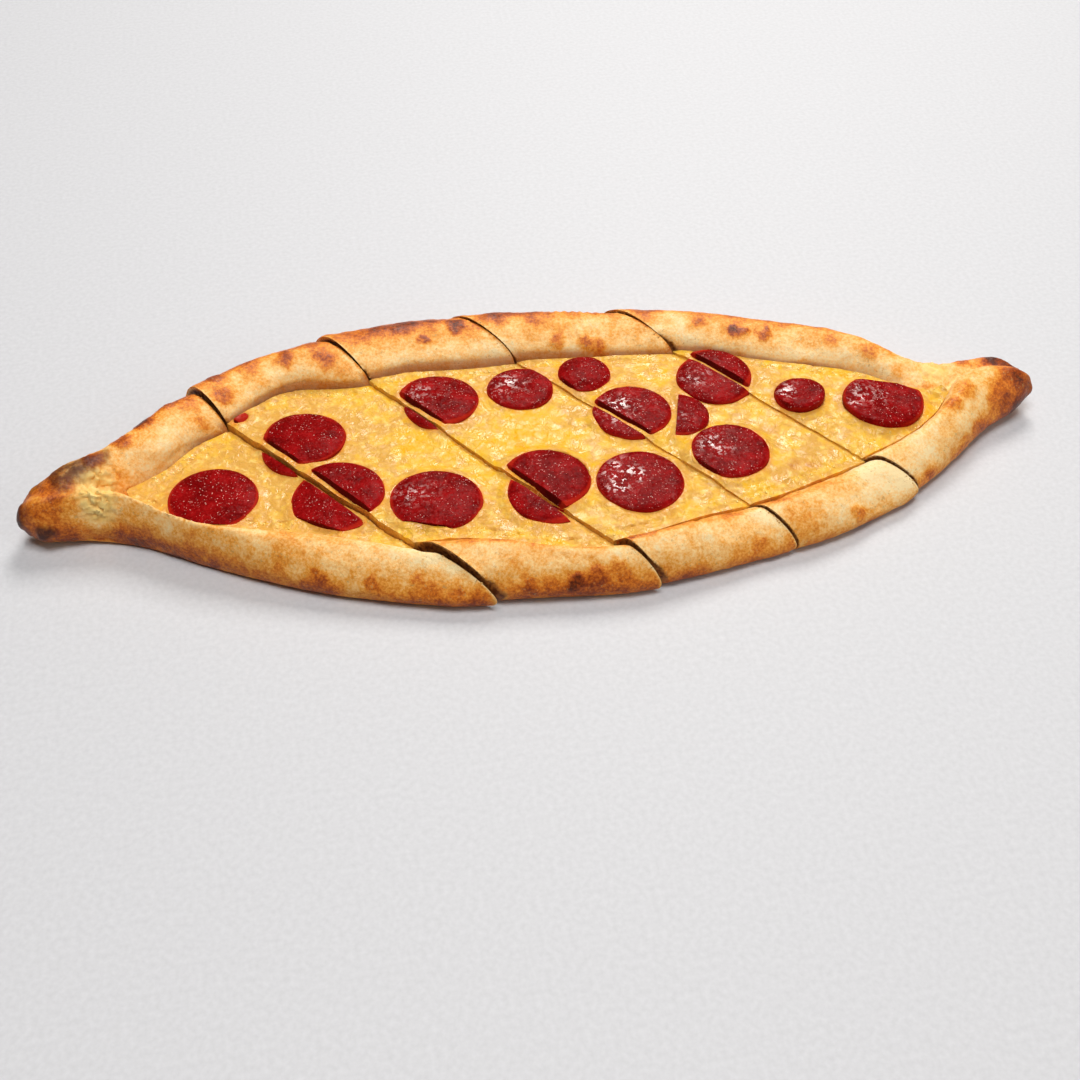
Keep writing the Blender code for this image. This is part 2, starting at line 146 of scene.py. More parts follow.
class Plan:
    """A fine grid over the boat's plan, in millimetres, for relief stamped from above."""

    def __init__(self, step):
        low, high = (np.array(corner[:2]) / MM for corner in LOADED_BOUNDS)
        self.low = low - 5
        self.step = step
        self.count = np.ceil((high - low + 10) / step).astype(int)
        x = self.low[0] + np.arange(self.count[0]) * step
        y = self.low[1] + np.arange(self.count[1]) * step
        self.x, self.y = np.meshgrid(x, y, indexing="ij")

    def empty(self, value=0.0):
        return np.full(tuple(self.count), value)

    def points(self):
        return np.stack([self.x.ravel(), self.y.ravel(), np.zeros(self.x.size)], axis=1)

    def near(self, centre, reach):
        """The part of the grid within reach of a point, as slices."""
        first = np.floor((np.array(centre) - reach - self.low) / self.step).astype(int)
        last = np.ceil((np.array(centre) + reach - self.low) / self.step).astype(int) + 1
        first = np.clip(first, 0, self.count)
        last = np.clip(last, 0, self.count)
        return slice(first[0], last[0]), slice(first[1], last[1])

    def lay_strand(self, field, centre, direction, length, width, base, bow):
        """Lays a rounded, slightly bowed strand over the field wherever it stands higher."""
        window = self.near(centre, length / 2 + width + abs(bow))
        dx = self.x[window] - centre[0]
        dy = self.y[window] - centre[1]
        run = dx * direction[0] + dy * direction[1]
        across = -dx * direction[1] + dy * direction[0]
        across = across - bow * (1 - (2 * run / length) ** 2)
        beyond = np.maximum(np.abs(run) - length / 2, 0)
        share = (across * across + beyond * beyond) / (width * width / 4)
        top = base + width * 0.42 * np.sqrt(np.clip(1 - share, 0, 1))
        field[window] = np.where(share < 1, np.maximum(field[window], top), field[window])

    def blur(self, field, reach):
        """The field smoothed with a bell curve."""
        radius = max(1, round(2.5 * reach / self.step))
        weights = np.exp(-0.5 * (np.arange(-radius, radius + 1) * self.step / reach) ** 2)
        weights /= weights.sum()
        for axis in (0, 1):
            pad = [(0, 0), (0, 0)]
            pad[axis] = (radius, radius)
            padded = np.pad(field, pad, mode="edge")
            size = field.shape[axis]
            moved = [np.take(padded, range(i, i + size), axis=axis) * w for i, w in enumerate(weights)]
            field = sum(moved)
        return field

    def read(self, field, points):
        """The field's values at points, blended between grid lines."""
        place = (points[:, :2] - self.low) / self.step
        place = np.clip(place, 0, self.count - 1.001)
        cell = place.astype(int)
        part = place - cell
        total = np.zeros(len(points))
        for i, j in np.ndindex(2, 2):
            weight = np.where(i, part[:, 0], 1 - part[:, 0]) * np.where(j, part[:, 1], 1 - part[:, 1])
            total += weight * field[cell[:, 0] + i, cell[:, 1] + j]
        return total


# ---------------------------------------------------------------- meshes


class Skin:
    """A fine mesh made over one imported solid, worked on as arrays in millimetres."""

    def __init__(self, node, name, voxel, crease=50, levels=2):
        self.name = name
        self.node = node
        self.mesh = even_mesh(frame["nodes"][node], name, voxel, crease, levels)
        count = len(self.mesh.vertices)
        self.points = np.zeros(count * 3)
        self.mesh.vertices.foreach_get("co", self.points)
        self.points = self.points.reshape(-1, 3) / MM
        self.edges = np.zeros(len(self.mesh.edges) * 2, dtype=np.int32)
        self.mesh.edges.foreach_get("vertices", self.edges)
        self.edges = self.edges.reshape(-1, 2)
        self.read_normals()

    def read_normals(self):
        self.store()
        self.normals = np.zeros(len(self.points) * 3)
        self.mesh.vertex_normals.foreach_get("vector", self.normals)
        self.normals = self.normals.reshape(-1, 3)

    def store(self):
        self.mesh.vertices.foreach_set("co", (self.points * MM).ravel())
        self.mesh.update()

    def average(self, values):
        """Each vertex's mean of its neighbours' values."""
        first, second = self.edges.T
        count = len(self.points)
        degree = np.bincount(first, minlength=count) + np.bincount(second, minlength=count)
        columns = values.reshape(count, -1).T
        sums = [
            np.bincount(first, column[second], count) + np.bincount(second, column[first], count)
            for column in columns
        ]
        return (np.array(sums) / degree).T.reshape(values.shape)

    def relax(self, rounds, share=0.5):
        """Smooths the surface; share may differ from vertex to vertex."""
        share = np.broadcast_to(np.asarray(share, float).reshape(-1, 1), (len(self.points), 1))
        for _ in range(rounds):
            self.points += (self.average(self.points) - self.points) * share

    def swell(self, amount):
        """Moves each vertex along its normal."""
        self.points += self.normals * amount[:, None]

    def paint(self, name, values):
        layer = self.mesh.attributes.new(name, "FLOAT", "POINT")
        layer.data.foreach_set("value", np.clip(values, 0, 1).astype(np.float32))

    def finish(self, material, slot, *nodes):
        """Turns the arrays into a piece of the model that stands for its nodes."""
        self.store()
        self.mesh.shade_smooth()
        self.mesh.set_sharp_from_angle(angle=math.radians(48))
        return add_piece(self.name, self.mesh, material, nodes or (self.node,))


def even_mesh(source, name, voxel, crease, levels):
    """A copy of a solid with its facets smoothed, its sharp cuts kept, and faces of one size."""
    bm = bmesh.new()
    bm.from_mesh(source.data)
    bmesh.ops.remove_doubles(bm, verts=bm.verts, dist=1e-6)
    bmesh.ops.join_triangles(
        bm, faces=bm.faces, angle_face_threshold=math.radians(25), angle_shape_threshold=math.radians(60)
    )
    sharp = bm.edges.layers.float.new("crease_edge")
    for edge in bm.edges:
        if edge.is_manifold and edge.calc_face_angle() > math.radians(crease):
            edge[sharp] = 1.0
    mesh = bpy.data.meshes.new(name)
    bm.to_mesh(mesh)
    bm.free()
    holder = bpy.data.objects.new(name + "_holder", mesh)
    bpy.context.scene.collection.objects.link(holder)
    smooth = holder.modifiers.new("Smooth", "SUBSURF")
    smooth.levels = levels
    smooth.render_levels = levels
    longest = max(source.dimensions) / MM
    depth = math.ceil(math.log2(longest / (0.95 * voxel)))
    remesh = holder.modifiers.new("Even", "REMESH")
    remesh.mode = "SHARP"
    remesh.octree_depth = depth
    remesh.scale = longest / (voxel * 2**depth)
    bpy.context.view_layer.update()
    depsgraph = bpy.context.evaluated_depsgraph_get()
    made = bpy.data.meshes.new_from_object(holder.evaluated_get(depsgraph))
    made.name = name
    bpy.data.objects.remove(holder)
    bpy.data.meshes.remove(mesh)
    if not made.vertices:
        raise RuntimeError(f"{name} came out empty")
    return made


def add_piece(name, mesh, material, nodes=()):
    piece = bpy.data.objects.new(name, mesh)
    bpy.context.scene.collection.objects.link(piece)
    mesh.materials.clear()
    mesh.materials.append(material)
    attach(piece, "root")
    if nodes:
        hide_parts(*nodes)
    return piece


def tree_of(nodes):
    """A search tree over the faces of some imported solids, in millimetres."""
    corners, faces = [], []
    for node in nodes:
        mesh = frame["nodes"][node].data
        start = len(corners)
        corners.extend(vertex.co / MM for vertex in mesh.vertices)
        faces.extend([start + i for i in polygon.vertices] for polygon in mesh.polygons)
    return BVHTree.FromPolygons(corners, faces)


def nearest(points, tree, reach=1e9):
    """Distance and way from each point to the nearest face; beyond reach the distance is reach."""
    distance = np.full(len(points), float(reach))
    way = np.zeros((len(points), 3))
    for i, point in enumerate(points):
        found = tree.find_nearest(point, reach)
        if found[0] is not None:
            distance[i] = found[3]
            way[i] = np.array(found[0]) - point
    return distance, way


def cut_share(skin, kind, number):
    """1 on the faces of a slice that look across a cut, 0 elsewhere, and the distance to each neighbour."""
    share = np.zeros(len(skin.points))
    gaps = []
    for other in (number - 1, number + 1):
        if other not in SLICES:
            gaps.append(np.full(len(skin.points), 99.0))
            continue
        distance, way = nearest(skin.points, tree_of([f"{kind}_{other}"]), 16.0)
        unit = way / np.maximum(distance, 1e-6)[:, None]
        facing = np.einsum("ij,ij->i", unit, skin.normals)
        share = np.maximum(share, fade(facing, 0.55, 0.8) * fade(distance, 5.0, 3.8))
        gaps.append(distance)
    return share, gaps


# ---------------------------------------------------------------- materials


class Graph:
    """Short names for the nodes of one material, in millimetres."""

    def __init__(self, name):
        self.material = bpy.data.materials.new(name)
        self.material.use_nodes = True
        self.tree = self.material.node_tree
        self.shader = self.tree.nodes["Principled BSDF"]
        self.place = self.add("ShaderNodeTexCoord").outputs["Object"]

    def add(self, kind, **settings):
        node = self.tree.nodes.new(kind)
        for key, value in settings.items():
            setattr(node, key, value)
        return node

    def feed(self, socket, value):
        if isinstance(value, bpy.types.NodeSocket):
            self.tree.links.new(value, socket)
        elif isinstance(value, tuple) and len(value) == 3 and socket.type == "RGBA":
            socket.default_value = (*value, 1)
        else:
            socket.default_value = value

    def painted(self, name):
        return self.add("ShaderNodeAttribute", attribute_name=name).outputs["Fac"]

    def noise(self, size, detail=2.0, roughness=0.5, distortion=0.0):
        node = self.add("ShaderNodeTexNoise")
        self.feed(node.inputs["Vector"], self.place)
        self.feed(node.inputs["Scale"], 1 / (size * MM))
        self.feed(node.inputs["Detail"], detail)
        self.feed(node.inputs["Roughness"], roughness)
        self.feed(node.inputs["Distortion"], distortion)
        return node.outputs["Fac"]

    def cells(self, size, output="Distance", feature="F1"):
        node = self.add("ShaderNodeTexVoronoi", feature=feature)
        self.feed(node.inputs["Vector"], self.place)
        self.feed(node.inputs["Scale"], 1 / (size * MM))
        return node.outputs[output]

    def math(self, operation, first, second=0.0):
        node = self.add("ShaderNodeMath", operation=operation)
        self.feed(node.inputs[0], first)
        self.feed(node.inputs[1], second)
        return node.outputs[0]

    def fade(self, value, low, high, start=0.0, end=1.0):
        node = self.add("ShaderNodeMapRange", interpolation_type="SMOOTHSTEP")
        self.feed(node.inputs["Value"], value)
        self.feed(node.inputs["From Min"], low)
        self.feed(node.inputs["From Max"], high)
        self.feed(node.inputs["To Min"], start)
        self.feed(node.inputs["To Max"], end)
        return node.outputs["Result"]

    def mix(self, first, second, share):
        node = self.add("ShaderNodeMix", data_type="RGBA")
        self.feed(node.inputs["Factor"], share)
        self.feed(node.inputs["A"], first)
        self.feed(node.inputs["B"], second)
        return node.outputs["Result"]

    def ramp(self, value, stops):
        node = self.add("ShaderNodeValToRGB")
        band = node.color_ramp
        while len(band.elements) < len(stops):
            band.elements.new(0.5)
        for element, (place, colour) in zip(band.elements, stops):
            element.position = place
            element.color = (*colour, 1)
        self.feed(node.inputs["Fac"], value)
        return node.outputs["Color"]

    def bump(self, height, depth, strength=1.0, below=None):
        node = self.add("ShaderNodeBump")
        self.feed(node.inputs["Height"], height)
        self.feed(node.inputs["Distance"], depth * MM)
        self.feed(node.inputs["Strength"], strength)
        if below is not None:
            self.feed(node.inputs["Normal"], below)
        return node.outputs["Normal"]

    def set(self, **values):
        """Sets or links the shader's sockets, named with _ for a space."""
        for key, value in values.items():
            self.feed(self.shader.inputs[key.replace("_", " ")], value)


def crust_material(look):
    g = Graph("baked_crust")
    bake = g.painted("bake")
    blotch = g.noise(12, 3, 0.6)
    mottle = g.noise(4.0, 3, 0.65)
    speck = g.noise(1.1, 3, 0.7)
    level = g.math("ADD", bake, g.fade(blotch, 0.3, 0.7, -0.09, 0.09))
    level = g.math("ADD", level, g.fade(mottle, 0.3, 0.7, -0.07, 0.07))
    level = g.math("ADD", level, g.fade(speck, 0.34, 0.66, -0.09, 0.09))
    colour = g.ramp(
        level,
        (
            (0.04, tuple(look.floury)),
            (0.24, tuple(look.pale)),
            (0.42, tuple(look.golden)),
            (0.58, tuple(look.orange)),
            (0.76, tuple(look.brown)),
            (0.95, tuple(look.burnt)),
        ),
    )
    bran = g.math("MULTIPLY", g.fade(g.noise(1.2, 2, 0.5), 0.6, 0.7), g.fade(g.noise(7, 2), 0.4, 0.6))
    colour = g.mix(colour, tuple(look.bran), g.math("MULTIPLY", bran, 0.6))
    raw = g.painted("raw")
    # Painted shade: the hollows between the pinched lumps are painted a deeper golden than their tops.
    dough = g.mix(tuple(look.raw), tuple(look.raw_hollow_shade), g.math("SUBTRACT", 1.0, g.painted("lump")))
    colour = g.mix(colour, dough, raw)
    char = g.math("MULTIPLY", g.painted("char"), g.fade(mottle, 0.2, 0.55, 0.6, 1.0))
    colour = g.mix(colour, tuple(look.char), char)
    # Painted shade: the crease mask browns the crust just above the cheese along the rear rims.
    colour = g.mix(colour, tuple(look.brown), g.painted("crease"))
    # Painted shade: the cut faces are painted a dark orange-brown, darker still in the pores, for the shade inside the
    # narrow cuts.
    crumb = g.mix(tuple(look.crumb), tuple(look.crumb_shade), g.fade(g.noise(1.8, 2), 0.4, 0.65))
    colour = g.mix(colour, crumb, g.painted("cut"))
    grain = g.bump(g.noise(0.9, 3, 0.7), 0.26, 0.7)
    dimples = g.bump(g.noise(2.6, 3, 0.6), 0.6, 0.5, grain)
    g.set(Base_Color=colour, Roughness=g.fade(level, 0.2, 0.9, 0.58, 0.4), Normal=dimples)
    g.set(Specular_IOR_Level=0.28, Subsurface_Weight=0.05, Subsurface_Radius=(1.0, 0.5, 0.25))
    g.set(Subsurface_Scale=0.003)
    return g.material


def cheese_material(look):
    g = Graph("melted_cheese")
    patch = g.noise(7, 2, 0.5, 0.6)
    mottle = g.noise(3, 2, 0.5, 0.5)
    share = g.math("ADD", g.painted("yolk"), g.fade(patch, 0.3, 0.7, -0.28, 0.28))
    share = g.math("ADD", share, g.fade(mottle, 0.32, 0.68, -0.12, 0.12))
    colour = g.ramp(
        share,
        (
            (0.0, tuple(look.beige)),
            (0.32, tuple(look.cream)),
            (0.62, tuple(look.yellow)),
            (0.98, tuple(look.deep)),
        ),
    )
    # Painted highlight: the tops of the strands are painted paler.
    light = g.math("MULTIPLY", g.painted("ridge"), g.fade(g.noise(1.5, 2), 0.35, 0.65, 0.1, 0.6))
    colour = g.mix(colour, tuple(look.pale), light)
    toast = g.math("ADD", g.painted("toast"), g.fade(mottle, 0.3, 0.7, -0.22, 0.22))
    toast = g.fade(toast, 0.2, 1.0, 0.0, 0.85)
    colour = g.mix(colour, g.mix(tuple(look.toast), tuple(look.toast_dark), toast), toast)
    oil = g.math("MULTIPLY", g.painted("oil"), g.fade(patch, 0.3, 0.65, 0.3, 0.9))
    colour = g.mix(colour, tuple(look.oil), oil)
    colour = g.mix(colour, tuple(look.wall), g.math("MULTIPLY", g.painted("cut"), 0.85))
    skin = g.bump(g.noise(0.8, 2, 0.6), 0.12, 0.4)
    folds = g.bump(g.noise(1.7, 2, 0.5, 0.6), 0.4, 0.5, skin)
    folds = g.bump(g.noise(3.6, 2, 0.5, 0.8), 1.2, 0.7, folds)
    shine = g.fade(g.noise(5, 2), 0.4, 0.65, 0.06, 0.4)
    g.set(Base_Color=colour, Roughness=g.fade(g.noise(9, 2), 0.35, 0.65, 0.2, 0.34), Normal=folds)
    g.set(Specular_IOR_Level=shine, Subsurface_Weight=0.12, Subsurface_Radius=(1.0, 0.7, 0.2))
    g.set(Subsurface_Scale=0.002)
    return g.material


def sausage_material(look):
    g = Graph("sausage_meat")
    deep = g.noise(7, 3, 0.6)
    grain = g.noise(1.0, 3, 0.7)
    colour = g.ramp(
        g.math("ADD", g.math("MULTIPLY", deep, 0.6), g.math("MULTIPLY", grain, 0.4)),
        ((0.34, tuple(look.dark)), (0.5, tuple(look.meat)), (0.66, tuple(look.light))),
    )
    flecks = g.math("MULTIPLY", g.fade(g.noise(0.75, 2, 0.6), 0.63, 0.7), g.fade(g.noise(4, 2), 0.4, 0.6))
    flecks = g.math("MULTIPLY", flecks, g.fade(g.painted("rim"), 0.9, 0.3, 0.1, 0.7))
    colour = g.mix(colour, tuple(look.fat), flecks)
    # Partly the casing's colour and partly a painted highlight: a bright orange-red line round each slice's edge.
    colour = g.mix(colour, tuple(look.edge), g.math("MULTIPLY", g.painted("rim"), 0.6))
    # Painted highlight: pinkish-white glints mixed into the colour on the greasy patches; the same mask also raises the
    # real specular.
    painted_glint = g.math("MULTIPLY", g.painted("greasy"), g.fade(g.noise(2.2, 2, 0.6), 0.52, 0.57, 0.0, 0.5))
    colour = g.mix(colour, tuple(look.greasy), painted_glint)
    # Painted shade: the cut faces are painted a darker red than the tops.
    colour = g.mix(colour, tuple(look.cut), g.math("MULTIPLY", g.painted("cut"), 0.8))
    bumps = g.bump(g.noise(1.2, 2, 0.6), 0.24, 0.6)
    hollows = g.bump(g.noise(3.4, 2, 0.5), 0.8, 0.5, bumps)
    wet = g.math("MULTIPLY", g.painted("greasy"), g.fade(g.noise(2.2, 2, 0.6), 0.51, 0.56))
    g.set(Base_Color=colour, Roughness=g.fade(grain, 0.3, 0.7, 0.2, 0.34), Normal=hollows)
    g.set(Specular_IOR_Level=g.fade(wet, 0.1, 0.6, 0.015, 1.0))
    g.set(Subsurface_Weight=0.04, Subsurface_Radius=(1.0, 0.3, 0.2), Subsurface_Scale=0.0015)
    return g.material


def plain_material(name, colour, roughness, **more):
    g = Graph(name)
    g.set(Base_Color=g.mix(tuple(colour), tuple(c * 0.8 for c in colour), g.noise(2.0, 2)))
    g.set(Roughness=roughness, **more)
    return g.material


# ---------------------------------------------------------------- settings


def colour_property(name, description, code):
    return bpy.props.FloatVectorProperty(
        name=name, description=description, subtype="COLOR", size=3, min=0, max=1, default=tone(code)
    )


def length_property(name, description, default):
    return bpy.props.FloatProperty(name=name, description=description, default=default, min=0, unit="LENGTH")


class PideCrustSettings(bpy.types.PropertyGroup):
    voxel: length_property("Fineness", "Size of the crust's faces", 0.75 * MM)
    uneven: length_property("Unevenness", "Height of the broad swellings of the rims", 0.8 * MM)
    bulge: length_property("Bulge", "How far the rims lean over the cheese", 0.8 * MM)
    floury: colour_property("Floury", "Palest, floury crust", "FFE3AC")
    pale: colour_property("Pale", "Lightly baked crust", "FFCB80")
    golden: colour_property("Golden", "Golden crust", "F2A33C")
    orange: colour_property("Orange", "Well baked crust", "DA761C")
    brown: colour_property("Brown", "Browned crust", "A44812")
    burnt: colour_property("Burnt", "Scorched crust", "57220C")
    char: colour_property("Char", "Charred crust of the ends", "4A2012")
    bran: colour_property("Bran", "Specks of bran", "C79A5E")
    raw: colour_property("Raw", "Pale dough in the pinched ends", "FFE596")
    # Raw Hollows is painted shade in the hollows between the lumps.
    raw_hollow_shade: colour_property("Raw Hollows", "Hollows of the pale dough", "F6BE5E")
    # Crumb and its pores are darkened well below the crumb's own pale colour, as painted shade of the cuts.
    crumb: colour_property("Crumb", "Crumb on the cut faces", "A5652C")
    crumb_shade: colour_property("Crumb Pores", "Pores of the crumb", "6A3514")


class PideCheeseSettings(bpy.types.PropertyGroup):
    voxel: length_property("Fineness", "Size of the cheese's faces", 0.6 * MM)
    fill: length_property("Fill", "How far the cheese stands above its plain solid", 1.9 * MM)
    relief: length_property("Relief", "Height of the half-melted strands", 0.9 * MM)
    # Ridges is a painted highlight on the tops of the strands.
    pale: colour_property("Ridges", "Tops of the strands", "FFE286")
    beige: colour_property("Beige", "Thin, translucent cheese", "DAA44C")
    cream: colour_property("Cream", "Creamy cheese", "E8B446")
    yellow: colour_property("Yellow", "Bright melted cheese", "ECB62E")
    deep: colour_property("Deep Yellow", "Deepest yellow cheese", "EDA60C")
    toast: colour_property("Toasted", "Lightly toasted cheese", "D98B36")
    toast_dark: colour_property("Dark Toasted", "Toasted spots", "9C5220")
    oil: colour_property("Oil", "Cheese stained by the sausage's fat", "DC7A30")
    wall: colour_property("Cut Cheese", "Cut faces of the cheese", "F0AC4C")


class PideSausageSettings(bpy.types.PropertyGroup):
    voxel: length_property("Fineness", "Size of the sausage's faces", 0.6 * MM)
    dark: colour_property("Dark Meat", "Darkest meat", "5C0506")
    meat: colour_property("Meat", "Meat", "82090A")
    light: colour_property("Light Meat", "Lightest meat", "A31416")
    fat: colour_property("Fat", "Specks of fat", "E9A196")
    # Greasy is the colour of painted glints on the patches of fat.
    greasy: colour_property("Greasy", "Patches where the fat has come out", "F2B6B0")
    # Edge is partly the casing's colour and partly a painted highlight.
    edge: colour_property("Edge", "Edge of a slice", "BE2C18")
    # Cut Meat is painted shade for the cut faces.
    cut: colour_property("Cut Meat", "Cut faces of a slice", "52100A")


# ---------------------------------------------------------------- crust

# Browned spots: place in millimetres, radius, and strength from 0 to 1.
SPOTS = (
    (-97, -57, 10, 4, 0.35), (-79, -64, 10, 4, 0.42), (-63, -68, 13, 2.6, 0.3), (-47, -73, 8, 3, 0.25),
    (-140, -33, 14, 6, 0.15), (-4, -77, 9, 4.6, 0.85), (5, -76, 11, 5, 0.5), (-21, -76, 8, 4, 0.45),
    (13, -76, 12, 6, 0.35), (61, -52, 15, 4.5, 0.95), (50, -51, 15, 4, 0.45), (25, -57, 15, 7, 0.45),
    (38, -54, 16, 7, 0.5), (17, -60, 15, 5, 0.35), (69, -70, 9, 4, 0.3), (112, -61, 9, 4.5, 0.6),
    (95, -39, 15, 5, 0.5), (108, -37, 15, 5, 0.45), (80, -46, 15, 6, 0.5), (115, -34, 15, 4, 0.3),
    (177, -23, 8, 6, 0.5), (166, -17, 21, 6, 0.45), (174, -9, 21, 6, 0.4), (189, -12, 14, 7, 0.45),
    (148, -42, 9, 5, 0.4), (136, -37, 17, 5, 0.2), (150, -26, 18, 5, 0.15),
    (-178, 7, 24, 5, 0.7), (-168, 15, 24, 5, 0.7), (-159, 24, 23, 5, 0.65), (-150, 33, 23, 5, 0.5),
    (-141, 33, 22, 5, 0.35), (-136, 27, 18, 4, 0.3), (-101, 55, 22, 5, 0.65), (-127, 38, 22, 5, 0.5),
    (-130, 50, 23, 6, 0.5), (-116, 53, 24, 6, 0.4), (-85, 54, 21, 6, 0.4), (-92, 64, 23, 6, 0.35),
    (-77, 49, 17, 4, 0.25), (-28, 65, 22, 5, 0.75), (-42, 59, 21, 3.5, 0.6), (-49, 70, 22, 8, 0.55),
    (-36, 74, 22, 8, 0.5), (-60, 67, 23, 7, 0.45), (-69, 62, 23, 5, 0.3), (-8, 71, 22, 9, 0.6),
    (9, 64, 22, 8, 0.4), (15, 52, 18, 4, 0.6), (32, 48, 16, 4, 0.55), (26, 50, 17, 4, 0.6),
    (-17, 64, 22, 5, 0.3), (90, 44, 21, 3.5, 0.75), (94, 42, 21, 3.2, 0.6), (102, 39, 21, 4, 0.55),
    (52, 59, 22, 5, 0.3), (76, 50, 22, 4, 0.3), (114, 25, 14, 4, 0.3), (128, 28, 20, 4, 0.35),
    (143, 20, 20, 5, 0.35), (151, 9, 17, 4, 0.4), (154, 20, 20, 5, 0.6), (171, 10, 16, 4, 0.4),
    (180, 12, 17, 5, 0.5), (193, 9, 17, 5, 0.45),
)

# Charred marks of the two ends, in the same form.
CHARS = (
    (-208, -6, 13, 6, 1.0), (-197, -15, 10, 4.5, 1.0), (-189, 1, 24, 8, 0.8),
    (-181, 5, 24, 6, 0.75), (-175, 8, 23, 4, 0.6), (-205, -13, 6, 5, 0.8),
    (-201, 5, 15, 8, 0.75), (206, -4, 14, 6, 0.25), (201, 7, 15, 5, 0.45), (194, 10, 15, 4, 0.35),
)


def marks(points, places, power=2.6):
    """Strength of the nearest marks at each point, with ragged edges."""
    ragged = points + np.stack([rough(points, 5, seed) for seed in (31, 32, 33)], axis=1) * 2.4
    ragged = ragged + np.stack([rough(points, 2, seed) for seed in (34, 35, 36)], axis=1) * 0.8
    total = np.zeros(len(points))
    for x, y, z, radius, strength in places:
        near = np.abs(points[:, 0] - x) < 2.5 * radius
        distance = np.linalg.norm(ragged[near] - (x, y, z), axis=1) / radius
        here = strength * (0.75 * np.exp(-((1.15 * distance) ** (2 * power))) + 0.25 * np.exp(-((0.8 * distance) ** 2)))
        total[near] = np.maximum(total[near], here) + 0.35 * np.minimum(total[near], here)
    return total


# How strongly the lip of each slice's front rim has browned, and how high its browned foot reaches.
FRONT_LIPS = (0.3, 0.7, 1.0, 0.9, 0.35)
FRONT_FEET = (12.5, 13.0, 10.5, 8.0, 11.0)
# How far the rear rims have risen in the oven: places along the boat and heights.
RISE_PLACES = (-200, -190, -176, -150, -128, -93, -72, -30, 0, 45, 80, 110, 150, 175, 198, 208)
RISE_HEIGHTS = (0, 2.1, 0.9, 3.8, 0.4, 3.4, 1.6, 2.6, 2.2, 0.8, 1.0, -0.4, 1.7, 0.2, 2.0, 0)
# How much more or less than the rest each slice's rear rim leans over the cheese.
REAR_LEANS = (1.2, 1.4, 1.0, 1.0, 1.0)


